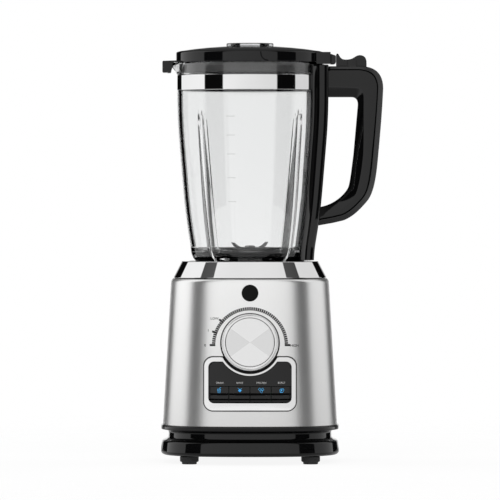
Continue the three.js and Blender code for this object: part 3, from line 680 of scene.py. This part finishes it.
SIGN_V, SIGN_W = -47.4, 1.58
cup = [bar(moved([(-1.5, 1), (-1.0, -2.4), (1.0, -2.4), (1.5, 1)], -31, SIGN_V), 0.3, SIGN_W),
       bar(moved([(-1.8, 1.1), (1.8, 1.1)], -31, SIGN_V), 0.35, SIGN_W),
       bar(moved([(0.3, 1.2), (1.0, 2.6), (1.9, 2.9)], -31, SIGN_V), 0.3, SIGN_W),
       bar(moved([(-1.1, -0.4), (0, -0.8), (1.1, -0.4)], -31, SIGN_V), 0.4, SIGN_W)]
spark_turn = np.linspace(0, 2 * math.pi, 33)[:-1]
spark_reach = 0.5 + 1.7 * np.abs(np.cos(2 * spark_turn)) ** 3
spark = np.c_[spark_reach * np.cos(spark_turn), spark_reach * np.sin(spark_turn)]
sparkle = [bar(moved(spark * 0.55, -10.2, SIGN_V - 0.2), 1.0, SIGN_W, closed=True),
           bar(moved([(-1.9, 2.2), (-0.9, 1.1)], -10.2, SIGN_V), 0.3, SIGN_W),
           bar(moved([(0.9, 1.2), (1.9, 1.9)], -10.2, SIGN_V), 0.28, SIGN_W)]
diamond = np.array([(0, 1.35), (1.35, 0), (0, -1.35), (-1.35, 0)])
cubes = [bar(moved(diamond, 11.2 + a, SIGN_V + b), 0.3, SIGN_W, closed=True)
         for a, b in ((-1.5, 1.0), (1.5, 1.0), (0.2, -1.3))]
swirl = [bar(circle(31.6, SIGN_V, 0.4, 0, 330, 16), 0.7, SIGN_W),
         bar(circle(31.6, SIGN_V, 1.4, 40, 300, 24, 0.5), 0.32, SIGN_W),
         bar(circle(31.6, SIGN_V, 2.4, 220, 430, 24, -0.2), 0.28, SIGN_W)]
for name, sign in zip(KEYS, (cup, sparkle, cubes, swirl)):
    piece(f"{name}_sign", f"{name}_button_body", lit_blue, joined(*sign))

# Ticks: short bars along an arc over the dial, a longer one at each number or word.
TICKS = 54
TICK_FROM, TICK_TO, LONG_TICK_TO = 34.8, 38.2, 40.4
SCALE_V = -2.2  # the arc's middle is a little below the dial's
tick_angle = np.linspace(180, 0, TICKS + 1)
long_at = {"0": 0, "1": 6, "LOW": 12, "HIGH": TICKS}
ticks = []
for k, angle in enumerate(np.radians(tick_angle)):
    reach = LONG_TICK_TO if k in long_at.values() else TICK_TO
    along = np.array([math.cos(angle), math.sin(angle)])
    width = 2.0 if k in long_at.values() else 1.6
    ticks.append(bar([TICK_FROM * along + (0, SCALE_V), reach * along + (0, SCALE_V)], width, 0.02))
words = [word(text, u, SCALE_V + v, 3.4, 0.03, 1, 0.035) for text, u, v in (
    ("0", -45.0, -0.4), ("1", -41.9, 14.6), ("LOW", -35.6, 26.6), ("HIGH", 44.6, -0.6))]
piece("dial_scale", "base", black_print, joined(*ticks, *words))

# ---------------------------------------------------------------- badge
# A plain round black badge above the dial, slightly domed, with a fine rim. It carries no words.
badge_line = np.array([(0, 1.62), (5, 1.58), (7.4, 1.45), (7.6, 1.3), (7.8, 1.3), (8.0, 1.5),
                       (8.3, 1.45), (8.4, 1.2), (8.4, 0.3), (0, 0.3)])
badge = carried_round(badge_line, 2, 72) + (0, 50, 0)
badge_black = finish("badge_enamel", (0.002, 0.002, 0.002), (0.004, 0.004, 0.004), (0.25, 0.35),
                     patch=200, Specular_IOR_Level=0.12)
piece("round_badge", "base", badge_black, quads(dial_place(badge)), ["front_badge"])

# ---------------------------------------------------------------- dial
# A turned aluminium knob on a steel spindle. Its rim is polished, with a finely knurled ring, and
# a spun disc fills its face.
# A black ring under the knob, a little wider than its rim, shows as the dark line round it: painted
# shade for the shadowed gap there.
knob_shade_line = [(24, -1.7), (29.9, -1.7), (29.9, 1.7), (29.6, 2.0), (24, 2.0)]
piece("knob_gap_shade", "base", badge_black,
      quads(dial_place(carried_round(knob_shade_line, 2, 160)), wrap_rows=True))
KNURLS = 150
rim_line = corner_rounded(
    [(3.3, 14), (0.3, 14), (0.3, 16.4), (24.6, 16.4), (24.6, 17.7), (25.0, 18), (27.3, 17.7),
     (27.5, 16.6), (27.8, 16.6), (28.0, 17.1), (28.4, 16.6), (28.6, 15.8), (28.6, 2.2), (27.2, 2.2),
     (27.2, 12), (7, 12), (7, 3), (3.3, 3)], 0.3)
ring_points = np.c_[np.linspace(25.1, 27.5, 7), np.linspace(17.99, 17.71, 7)]
after = int(np.argmax((rim_line[:, 0] > 25.3) & (rim_line[:, 1] > 17)))
rim_line = np.insert(rim_line, after, ring_points[1:-1], axis=0)
knob = carried_round(rim_line, 2, 600)
radius = np.linalg.norm(knob[..., :2], axis=-1)
angle = np.arctan2(knob[..., 1], knob[..., 0])
knurled = np.exp(-((radius - 26.3) / 1.0) ** 4) * (knob[..., 2] > 17.3)
knob[..., 2] += 0.16 * knurled * np.cos(KNURLS * angle + 2.2 * (radius - 26))
piece("knob_rim", "knob", polished, quads(dial_place(knob), wrap_rows=True), ["knob_body"],
      crease=40)
spun, tree, shader = blank("spun_aluminium")
spin_map = node(tree, "UVMap", uv_map="spin")
polar = node(tree, "SeparateXYZ", {0: spin_map.outputs[0]})
# The face's colour is lighter in the sectors above and below the middle and darker in those to each
# side: a painted sheen.
painted_sheen_sectors = math_node(tree, "LESS_THAN", math_node(tree, "ABSOLUTE", polar.outputs[1]),
                math_node(tree, "MULTIPLY", math_node(tree, "ABSOLUTE", polar.outputs[0]), 0.73))
from_middle = node(tree, "VectorMath", {0: spin_map.outputs[0]}, operation="LENGTH")
rings_noise = node(tree, "TexNoise", {"Vector": node(tree, "CombineXYZ", {
    0: math_node(tree, "MULTIPLY", from_middle.outputs["Value"], 90)}).outputs[0],
    "Scale": 1, "Detail": 3})
base = mixed(tree, painted_sheen_sectors, (0.9, 0.9, 0.9), (0.8, 0.8, 0.8))
fine = node(tree, "MapRange", {"Value": rings_noise.outputs[0], "From Min": 0.3, "From Max": 0.7,
                               "To Min": 0.975, "To Max": 1.0}).outputs[0]
tree.links.new(node(tree, "VectorMath", {0: base, 3: fine}, operation="SCALE").outputs[0],
               shader.inputs["Base Color"])
tree.links.new(use(tree, cloudy, Scale=60, Low=0.22, High=0.26), shader.inputs["Roughness"])
tree.links.new(relief(tree, rings_noise.outputs[0], 0.000004), shader.inputs["Normal"])
shader.inputs["Metallic"].default_value = 1
disc_line = np.r_[np.c_[np.linspace(0, 23.9, 14), np.full(14, 17.75)],
                  [(24.2, 17.6), (24.3, 17.3), (24.3, 16.6), (0, 16.6)]]
face_disc = carried_round(disc_line, 2, 180)
cap = piece("knob_face", "knob", spun, quads(dial_place(face_disc)), ["knob_cap"])
centre = dial_place(np.zeros((1, 3)))[0]


def spin_coordinates(mesh, middle):
    """A UV map for a spun face, with the dial's axis at zero: u runs across and v up the face,
    both as shares of 25 mm."""
    layer = mesh.uv_layers.new(name="spin")
    place = np.zeros(len(mesh.vertices) * 3)
    mesh.vertices.foreach_get("co", place)
    corner = np.zeros(len(mesh.loops), int)
    mesh.loops.foreach_get("vertex_index", corner)
    local = place.reshape(-1, 3)[corner] * 1000 - AXIS - middle
    up = (local[:, 2] - 17 * math.sin(LEAN)) / math.cos(LEAN)
    layer.data.foreach_set("uv", (np.c_[local[:, 0], up] / 25).ravel())


spin_coordinates(cap.data, centre)

# ---------------------------------------------------------------- jar
# Pressed clear glass, thick in the wall, with a pouring lip on the left and four upright ribs
# inside that stir the contents. A hole in its floor takes the blade unit.
glass, tree, shader = blank("clear_glass")
height = node(tree, "SeparateXYZ", {0: node(tree, "TexCoord").outputs["Object"]}).outputs[2]
climb = node(tree, "MapRange", {"Value": height, "From Min": 0.2, "From Max": 0.38}).outputs[0]
tree.links.new(mixed(tree, climb, (0.94, 0.945, 0.945), (0.915, 0.92, 0.92)),
               shader.inputs["Base Color"])
tree.links.new(use(tree, cloudy, Scale=25, Low=0.0, High=0.012), shader.inputs["Roughness"])
shader.inputs["Transmission Weight"].default_value = 1
shader.inputs["IOR"].default_value = 1.5
JAR_HEIGHTS = (206.7, 208.8, 239.4, 263.9, 288.4, 312.8, 337.3, 361.8, 405)
JAR_RADII = (57.2, 59, 64.1, 67.1, 69.2, 71.2, 73.2, 74.2, 74.2)
WALL = 4.4


def jar_radius(z):
    """The jar's outside radius: straight lines between given heights, averaged over 20 mm so
    that they run into one another as a curve."""
    slide = np.linspace(-10, 10, 9)
    return np.mean([np.interp(np.clip(z + d, 212, 405), JAR_HEIGHTS, JAR_RADII) for d in slide], 0)


rise = np.linspace(213, 376.4, 42)
fall = np.linspace(403, 216, 60)
outer_line = np.r_[
    [(30, 203.7), (42, 203.7), (53.6, 203.7), (55.6, 204.4), (57.4, 206.4), (58.9, 209)],
    np.c_[jar_radius(rise), rise],
    [(74.2, 376.5), (73.2, 376.9), (73.2, 392.3), (74.2, 392.7), (74.2, 395), (74.2, 399),
     (74.2, 403.2), (73.9, 404.3), (73.1, 404.9)]]
inner_line = np.r_[
    [(70.9, 404.9), (70.1, 404.4)], np.c_[jar_radius(fall) - WALL, fall],
    [(53.8, 213.2), (52.4, 211), (50, 209.8), (44, 209.7), (30, 209.7)]]
jar_angle = np.unique(np.round(np.r_[
    np.linspace(0, 360, 181)[:-1],
    (np.array([45, 135, 225, 315])[:, None] + np.linspace(-4.4, 4.4, 23)).ravel()], 3))
jar_line = np.r_[outer_line, inner_line]
theta = np.radians(jar_angle)[None]
reach = np.repeat(jar_line[:, :1], len(jar_angle), 1)
level = np.repeat(jar_line[:, 1:], len(jar_angle), 1)
# Each rib's edge runs straight from the top of the rib in towards the floor.
rib_edge = 45.3 + (level - 211.5) * 21.3 / 140.5
to_rib = np.abs(jar_angle[None] % 90 - 45)
rib_side = np.clip((2.5 - to_rib) / 0.8, 0, 1)
rib_side = rib_side * rib_side * (3 - 2 * rib_side)
rib_top = np.clip((354 - level) / 5, 0, 1)
is_inside = (np.arange(len(jar_line)) >= len(outer_line))[:, None]
depth = np.maximum(reach - rib_edge, 0) * rib_side * rib_top * is_inside
reach = reach - np.where(level > 209.75, depth, np.where(reach > 47, depth, 0))
# The lip pushes both faces out over 38 degrees, more towards the rim.
to_lip = np.abs(jar_angle[None] - 180)
lip = np.cos(np.clip(to_lip / 19, 0, 1) * math.pi / 2) ** 1.4
reach = reach + 7.9 * lip * np.clip((level - 392.8) / 12, 0, 1) ** 1.15
jar = np.stack([reach * np.cos(theta), reach * np.sin(theta), level], -1)
piece("jar_glass_body", "jar", glass, quads(jar, wrap_rows=True), ["glass_jar"],
      crease=60)

# Faint level marks stand out of the glass at the front.
marks = []
for z in (264, 288, 312, 331, 350):
    span = np.radians(np.linspace(-90 - 19, -90 - 12, 8))
    radius = float(jar_radius(np.array(z))) + 0.02
    row = [np.stack([(radius + d) * np.cos(span), (radius + d) * np.sin(span),
                     np.full(8, z + e)], -1)
           for d, e in ((0, -.2), (0.12, -.2), (0.12, .2), (0, .2))]
    marks.append(quads(np.stack(row, 1), caps=True))
mark_print = finish("grey_print", (0.55, 0.55, 0.55), (0.62, 0.62, 0.62), (0.4, 0.5), patch=900)
piece("level_marks", "jar", mark_print, joined(*marks))

# ---------------------------------------------------------------- band and foot of the jar
# A polished steel band sits in a groove under the rim. The foot is a matt black ring screwed up
# under the glass, and it holds the blade unit.
band_line = corner_rounded([(73.5, 377.1), (74.5, 377.1), (74.55, 384.6), (74.5, 392.1),
                            (73.5, 392.1)], 0.25)
piece("polished_band", "jar", polished, quads(carried_round(band_line, 2, 224), wrap_rows=True),
      ["steel_band"])
foot_ring = corner_rounded([(22, 200.2), (50, 200.2), (50, 191.9), (57, 191.9), (57, 203.4),
                            (22, 203.4)], 0.6)
piece("foot_ring", "jar", matt_black, quads(carried_round(foot_ring), wrap_rows=True),
      ["jar_foot"])

# ---------------------------------------------------------------- handle
# The spine is a thin sleeve round the jar with a proud, flat-sided rail down its middle. The grip
# stands out from the rail, with a wide slope round the finger hole, and a softer strip runs along
# its back.
SPINE = math.radians(35)
SPINE_TOP, RIM = 402.5, 74.2
SLEEVE, RAIL_HALF, PROUD = 3.4, 33, 5.2


def spine_plan(z):
    """The spine's outline at one height, half a side at a time: the sleeve's end, its outside, the
    rail's flat side, its round corner and its back; then the mirror image and the bore."""
    r = float(jar_radius(np.array(z)))
    half = RAIL_HALF * r / RIM
    start = math.asin(half / (r + SLEEVE)) + 0.004
    sweep = np.linspace(SPINE - 0.006, start, 12)
    end = [((r + SLEEVE - 0.5) * math.cos(SPINE), (r + SLEEVE - 0.5) * math.sin(SPINE))]
    skin = np.c_[np.cos(sweep), np.sin(sweep)] * (r + SLEEVE)
    side = (r + SLEEVE) * math.cos(start) + 0.25
    back = r + PROUD
    corner = np.array([(-4.4, 0), (-4.15, -0.06), (-3.95, -0.16), (-1.75, -1.5), (-1.45, -1.75),
                       (-1.2, -2.05), (-0.75, -2.8), (-0.4, -3.6), (-0.15, -4.5), (0, -5.4)])
    corner = corner + (back, half)
    run = [(side, half - 0.05), (side + 0.4, half), (back - 4.7, half)]
    rear = np.c_[np.full(9, back), np.linspace(half - 5.9, 0, 9)]
    quarter = np.concatenate([end, skin, run, corner, rear])
    bore = np.linspace(SPINE, -SPINE, 48)
    return np.concatenate([quarter * (1, -1), quarter[-2::-1],
                           np.c_[np.cos(bore), np.sin(bore)] * (r + 0.6)])


spine_z = np.r_[204.7, 205, np.linspace(207, 400, 50), 401.9, SPINE_TOP]
spine = np.stack([np.c_[spine_plan(z) * (1 if 204.8 < z < SPINE_TOP else 0.995),
                        np.full(1, z).repeat(len(spine_plan(z)))] for z in spine_z])
piece("spine", "jar", gloss_black, quads(spine, caps=True), ["handle_spine"],
      crease=35)


def curve_through(points, count=12):
    """A chain of cubic curves: a start, then two control points and an end for each curve."""
    p = np.asarray(points, float)
    t = np.linspace(0, 1, count + 1)[:-1, None]
    pieces = [(1 - t) ** 3 * a + 3 * t * (1 - t) ** 2 * b + 3 * t * t * (1 - t) * c + t ** 3 * d
              for a, b, c, d in zip(p[:-1:3], p[1::3], p[2::3], p[3::3])]
    return np.concatenate([*pieces, p[-1:]])


def outward(line, closed=True):
    """The unit normal at each point of an outline that runs clockwise in (x, z)."""
    way = np.roll(line, -1, 0) - np.roll(line, 1, 0)
    if not closed:
        way[0], way[-1] = line[1] - line[0], line[-1] - line[-2]
    way /= np.linalg.norm(way, axis=1)[:, None]
    return np.c_[-way[:, 1], way[:, 0]]


def slab(line, half, steps):
    """A plate standing in the XZ plane. Each step is a share of the way in from the outline, with
    how far in and how deep at each point, and the same steps close both faces."""
    normal = outward(line)
    rows = []
    for sign, order in ((-1, steps[::-1]), (1, steps)):
        for inset, drop in order:
            place = line - normal * np.broadcast_to(inset, len(line))[:, None]
            y = sign * (half - np.broadcast_to(drop, len(line)))
            rows.append(np.c_[place[:, 0], y, place[:, 1]])
    return quads(np.stack(rows), caps=True)


def even(line, step=1.4):
    """The same outline with points an even step apart along it."""
    closed = np.r_[line, line[:1]]
    length = np.r_[0, np.cumsum(np.linalg.norm(np.diff(closed, axis=0), axis=1))]
    at = np.linspace(0, length[-1], int(length[-1] / step))[:-1]
    return np.c_[np.interp(at, length, closed[:, 0]), np.interp(at, length, closed[:, 1])]


def even_open(line, count):
    """The same line with a number of points an even step apart along it."""
    length = np.r_[0, np.cumsum(np.linalg.norm(np.diff(line, axis=0), axis=1))]
    at = np.linspace(0, length[-1], count)
    return np.c_[np.interp(at, length, line[:, 0]), np.interp(at, length, line[:, 1])]


HANDLE_HALF = 14
STRIP = 5.7
back_line = curve_through([
    (112, 401.4), (127, 401.4), (135.2, 394), (135.2, 379), (134.2, 355), (132, 331),
    (129.7, 306), (128, 288), (125.5, 272), (118.5, 264), (112, 256.5), (105, 249), (95, 245)])
back_line = np.r_[np.c_[np.linspace(79, 111, 12), np.full(12, 401.4)], back_line,
                  [(84, 242.4), (69.2, 239.8)]]
back_line = even_open(back_line, 200)
back_normal = outward(back_line, closed=False)
run = np.linspace(0, 1, len(back_line))
belt_thick = np.interp(run, (0, 0.13, 0.24, 1), (3.2, 3.2, STRIP, STRIP))[:, None]
grip_back = back_line - back_normal * (belt_thick - 0.05)
hole_line = np.r_[
    [(71.3, 258.6)],
    curve_through([(75.2, 259.6), (85, 262.3), (94, 269), (99, 277), (101.5, 281), (103, 297),
                   (105, 312), (106.6, 330), (108, 346), (109.3, 361), (110, 367), (107.5, 370),
                   (103, 370)], 14), [(79, 370)]]
grip_front = even_open(hole_line[::-1], len(grip_back))
gap = np.linalg.norm(grip_front - grip_back, axis=1)[:, None]
SLOPE = 10.5
# The section from the back edge to the hole: places across it, as millimetres from the back edge
# or, where negative, from the hole, with the half-thickness there.
section = np.array([(0, 11.9), (0.9, 13.6), (1.2, 13.9), (1.6, HANDLE_HALF),
                    (-SLOPE - 0.8, HANDLE_HALF),
                    (-SLOPE, 13.9), (-SLOPE + 0.8, 13.55), (-1.2, 9.5), (-0.35, 8.9), (0, 8.0)])
from_back = np.arange(len(section)) < 4
inward = np.where(from_back, section[:, 0], gap + section[:, 0])
place = grip_back[:, None] + (grip_front - grip_back)[:, None] * (inward / gap)[..., None]
depth = np.broadcast_to(section[:, 1], inward.shape)
face_half = np.stack([place[..., 0], -depth, place[..., 1]], -1)
grip = np.concatenate([face_half, (face_half * (1, -1, 1))[:, ::-1]], 1)
grip = quads(grip, caps=True)
well = box((86.3, 120.5), (-9.7, 9.7), (397.9, 404))
cut_by(piece("grip_moulding", "jar", gloss_black, grip, ["handle_grip"],
             crease=28), [well])
ear_line = even(corner_rounded([(98.7, 400.4), (98.7, 408.2), (108.3, 408.2), (108.3, 400.4)],
                               2.4), 0.8)
ear = slab(ear_line, 1.45, [(0, 0.5), (0.15, 0.15), (0.5, 0)])
ears = joined(*[(ear[0] + (0, 11.25 * side, 0), ear[1]) for side in (-1, 1)])
piece("pin_ears", "jar", gloss_black, ears)
# The strip's section: share of its thickness from the back, half-width, and share of the slant
# that its flank takes; the slant is steeper round the back than along the top.
flank = np.array([(1, 12.2, 0), (0.92, 13.8, 0), (0.84, HANDLE_HALF, 0.05),
                  (0.8, HANDLE_HALF, 0.1), (0.16, HANDLE_HALF, 0.86), (0.08, 13.9, 0.95),
                  (0.02, 13.5, 1), (0, 12.7, 1)])
slant = np.interp(run, (0, 0.13, 0.26, 0.7, 1), (1.7, 1.7, 5, 5, 2))[:, None]
half = flank[None, :, 1] - flank[None, :, 2] * slant
back = back_line[:, None] - (back_normal * belt_thick)[:, None] * flank[None, :, :1]
side = np.stack([back[..., 0], -half, back[..., 1]], -1)
belt = np.concatenate([side, (side * (1, -1, 1))[:, ::-1]], 1)
soft_black = finish("soft_black", (0.009, 0.009, 0.0095), (0.013, 0.013, 0.0135), (0.22, 0.3),
                    pore=2200, depth=0.00001)
cut_by(piece("grip_belt", "jar", soft_black, quads(belt, caps=True), ["grip_strip"],
             crease=40), [well])

# ---------------------------------------------------------------- latch
# A rocking lever on a steel pin between the grip's ears. Its hollow is for the thumb and its nose
# holds the lid's arm.
latch_line = even(np.r_[
    [(87.4, 400.5), (87.4, 412.6)],
    curve_through([(87.5, 413), (88, 414.8), (89.2, 414.9), (90.2, 413), (91.8, 409.6),
                   (93.6, 408.3), (96.6, 408.2), (101.4, 408.1), (103.6, 409), (106, 410.6),
                   (109, 413), (112.4, 413.2), (115, 411.9), (117.4, 410.6), (118.3, 408.4),
                   (118.3, 404)], 10), [(118.3, 400.5)]], 0.6)
latch = slab(latch_line, 9.3, [(0, 0.6), (0.1, 0.3), (0.3, 0.06), (0.55, 0)])
piece("thumb_latch", "latch", gloss_black, latch, ["lid_latch"], crease=30)

# ---------------------------------------------------------------- blade unit
# Two stamped steel blades clamped on a shaft by a nut. The shaft turns in a bush in a black base,
# which closes the hole in the glass.
edge_steel = finish("ground_steel", (0.78, 0.78, 0.78), (0.86, 0.86, 0.86), (0.32, 0.42), patch=200,
                    pore=1500, depth=0.000004, Metallic=1)
unit_line = corner_rounded([
    (7.3, 204), (29.5, 204), (29.5, 210.7), (31.8, 210.9), (31.8, 216), (31.2, 216.5),
    (24.2, 216.5), (22.8, 211.6), (7.3, 211.4)], 0.8)
piece("blade_socket", "jar", gloss_black, quads(carried_round(unit_line), wrap_rows=True),
      ["blade_base"])
BLADE_TURN = 58


def blade(tip, rise_line, width, turned_by):
    """A two-armed blade: along s from tip to tip it follows height h(s), and its section is a
    rectangle whose sides narrow from the hub to the tip, with a thin ground edge."""
    s = np.linspace(-tip, tip, 61)
    height = np.interp(np.abs(s), *rise_line)
    share = np.clip((np.abs(s) - 7) / (tip - 7), 0, 1)
    half_width = width * (1 - 0.72 * share ** 1.1)
    sweep_back = -np.sign(s) * 2.1 * share ** 1.6
    section = ((-1, 0.06), (-0.72, 0.55), (1, 0.55), (1, -0.55), (-0.72, -0.55), (-1, -0.06))
    flip = np.where(s < 0, -1, 1)
    rows = np.stack([np.c_[s, flip * side * half_width + sweep_back, height + 0.7 + up]
                     for side, up in section], 1)
    a = math.radians(turned_by)
    spin = np.array([[math.cos(a), math.sin(a), 0], [-math.sin(a), math.cos(a), 0], [0, 0, 1]])
    return quads(rows @ spin, caps=True)


piece("low_blade", "blades", edge_steel,
      blade(22, ((0, 8, 22), (213.1, 213.2, 214.0)), 6.2, BLADE_TURN + 90), ["lower_blade"])
piece("high_blade", "blades", edge_steel,
      blade(29.4, ((0, 9, 14, 20, 25, 30), (214.8, 214.8, 215.2, 216.4, 218.9, 222.4)), 6.2,
            BLADE_TURN), ["upper_blade"])
nut_line = [(3.6, 216.4), (5.8, 216.4), (5.8, 218.5), (5, 219.1), (3.8, 219.6), (0, 219.8),
            (0, 219.4), (3.6, 219.3)]
nut = carried_round(nut_line, 2, 96)
facing = np.arctan2(nut[..., 1], nut[..., 0])
flats = 5.3 / np.cos((facing + math.pi / 6) % (math.pi / 3) - math.pi / 6)
far = np.linalg.norm(nut[..., :2], axis=-1)
squeeze = np.where((far > 5.1) & (nut[..., 2] < 218.9), flats / np.maximum(far, 1e-6), 1)
nut[..., :2] *= squeeze[..., None]
piece("hub_nut", "blades", edge_steel, quads(nut, wrap_rows=True), ["blade_nut"])

# ---------------------------------------------------------------- lid
# A gloss black moulding: a domed disk with a hole for the cap, a plug that goes down into the jar
# with a rubber ring round it, a hood over the lip and an arm that the latch holds.
lid_line = corner_rounded([
    (21.4, 397.2), (23.8, 397.2), (23.8, 411), (62, 408.6), (62, 394), (66, 394), (66, 405.2),
    (75.3, 405.2), (75.3, 414.8), (74.6, 415.8), (72, 416.7), (66, 417.7), (60, 418.6), (50, 419.8),
    (40, 420.7), (32, 421.3), (26, 421.6), (21.4, 421.6)], 0.6)
disk_part = quads(carried_round(lid_line, 2, 224), wrap_rows=True)
piece("lid_disk", "lid", gloss_black, disk_part, ["lid"], crease=25)
hood = [(-72, 405.4), (-83.4, 405.4), (-83.4, 394.8), (-88.2, 394.8), (-88.8, 395.4),
        (-88.8, 406), (-88.2, 406.8), (-72, 407.3)]
cheek = [(-77.4, 405.8), (-78.6, 401.6), (-80, 398), (-80.2, 394.9), (-88.2, 394.8),
         (-88.8, 395.4), (-88.8, 406), (-88.2, 406.7), (-77.4, 406.9)]
edge_steps = [(0, 0.7), (0.12, 0.3), (0.35, 0.08), (0.7, 0)]
hood_part = slab(even(corner_rounded(hood, 0.8), 0.9), 16.8, edge_steps)
cheek_part = slab(even(corner_rounded(cheek, 1.2), 0.7), 1.3, edge_steps)
cheeks = [(cheek_part[0] + (0, 15.7 * side, 0), cheek_part[1]) for side in (-1, 1)]
piece("lip_hood", "lid", gloss_black, joined(hood_part, *cheeks), crease=30)

# The arm's root hugs the lid's rim above the rail, and its tongue reaches to the latch.
root_y = np.r_[-36, -35.8, -35.3, np.linspace(-34.6, 34.6, 31), 35.3, 35.8, 36]
inset = np.interp(36 - np.abs(root_y), (0, 0.2, 0.7), (0.7, 0.2, 0))
near, far = np.sqrt(75.7 ** 2 - root_y ** 2) + inset, 81.4 - inset
root = np.stack([np.stack([x, root_y, z], -1) for x, z in (
    (near, 403.2 + inset), (far, 403.2 + inset), (far, 415.3 - inset), (near, 415.3 - inset))], 1)
tongue = even(corner_rounded([(80.6, 403.3), (85.6, 403.3), (87.1, 404.8), (87.1, 412.2),
                              (80.6, 414.4)], 0.8)[::-1], 0.5)
piece("latch_arm", "lid", gloss_black, joined(quads(root, caps=True), slab(
    tongue, 12.9, edge_steps)), ["lid_arm"], crease=30)

# A parting line runs down the rim at the front and bends away to the right.
seam_x = np.interp(np.linspace(0, 1, 24), (0, 0.35, 0.6, 0.8, 1), (10.7, 11.2, 12.6, 14.9, 18.3))
seam_z = np.interp(np.linspace(0, 1, 24), (0, 0.35, 0.6, 0.8, 1), (415, 411, 408.4, 406.8, 405.9))
seam_way = np.stack([np.gradient(seam_x), np.gradient(seam_z)], -1)
seam_way /= np.linalg.norm(seam_way, axis=1)[:, None]
seam_side = np.c_[-seam_way[:, 1], seam_way[:, 0]] * 0.6
seam = []
for side, lift in ((1, -0.3), (-1, -0.3), (-1, 0.04), (1, 0.04)):
    x, z = seam_x + side * seam_side[:, 0], seam_z + side * seam_side[:, 1]
    seam.append(np.stack([x, -np.sqrt((75.3 + lift) ** 2 - x ** 2), z], -1))
piece("lid_seam", "lid", badge_black, quads(np.stack(seam, 1), caps=True))
silicone = finish("grey_silicone", (0.12, 0.12, 0.12), (0.14, 0.14, 0.14), (0.45, 0.55),
                  patch=120, pore=2000, depth=0.00001)
seal = corner_rounded([(66.2, 394.5), (68.7, 394.5), (69.1, 395.6), (69.1, 403.8), (68.9, 404.8),
                       (66.2, 404.8)], 0.4)
piece("sealing_ring", "lid", silicone, quads(carried_round(seal), wrap_rows=True), ["lid_gasket"])

# ---------------------------------------------------------------- measuring cap
# Clear plastic: a cup with a flange, pushed into the lid's hole upside down.
smoky = finish("clear_plastic", (0.8, 0.81, 0.82), (0.86, 0.87, 0.88), (0.03, 0.08), patch=15,
               Transmission_Weight=1.0, IOR=1.5)
cap_line = corner_rounded([
    (0, 422.2), (18.6, 422.2), (18.6, 400), (20.9, 400), (20.9, 421.9), (24, 421.9), (24, 424.1),
    (23.4, 424.8), (0, 424.8)], 0.4, closed=False)
piece("cap_cup", "cap", smoky, quads(carried_round(cap_line, 2, 128)), ["measuring_cap"],
      crease=25)

# ---------------------------------------------------------------- hidden works
# The motor, its brackets and the couplings, the circuit board, the screws and the pins keep their
# own solids and get the finishes of what they are made of.
cast = finish("cast_alloy", (0.36, 0.36, 0.37), (0.46, 0.46, 0.47), (0.4, 0.55), patch=120,
              pore=900, depth=0.00006, Metallic=1)
copper = finish("winding_copper", (0.42, 0.14, 0.05), (0.62, 0.25, 0.1), (0.3, 0.4),
                grain=(60, 2600), pore=1800, depth=0.0001, Metallic=1)
brass = finish("machined_brass", (0.6, 0.42, 0.17), (0.68, 0.5, 0.22), (0.2, 0.3), patch=150,
               pore=900, depth=0.00001, Metallic=1)
laminated = finish("laminated_steel", (0.2, 0.2, 0.21), (0.34, 0.34, 0.35), (0.35, 0.5),
                   grain=(20, 3000), pore=2500, depth=0.00004, Metallic=1)
board = finish("circuit_board", (0.006, 0.06, 0.024), (0.012, 0.1, 0.04), (0.3, 0.45), patch=250,
               pore=1200, depth=0.00003)
works = {
    cast: ("lower_motor_bracket", "upper_motor_bracket"),
    copper: ("lower_field_winding", "upper_field_winding"),
    brass: ("left_brush_holder", "right_brush_holder", "blade_bush"),
    laminated: ("stator_core", "armature"),
    board: ("control_board",),
    matt_black: ("cooling_fan", "speed_switch"),
    edge_steel: ("front_motor_bolt", "rear_motor_bolt", "lower_bearing", "upper_bearing",
                 "motor_shaft", "drive_coupling", "knob_spindle", "latch_pin", "blade_shaft",
                 "jar_coupling", "front_left_cover_screw", "rear_left_cover_screw",
                 "front_right_cover_screw", "rear_right_cover_screw"),
}
for material, names in works.items():
    for name in names:
        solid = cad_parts[name]
        solid.data.materials.clear()
        solid.data.materials.append(material)
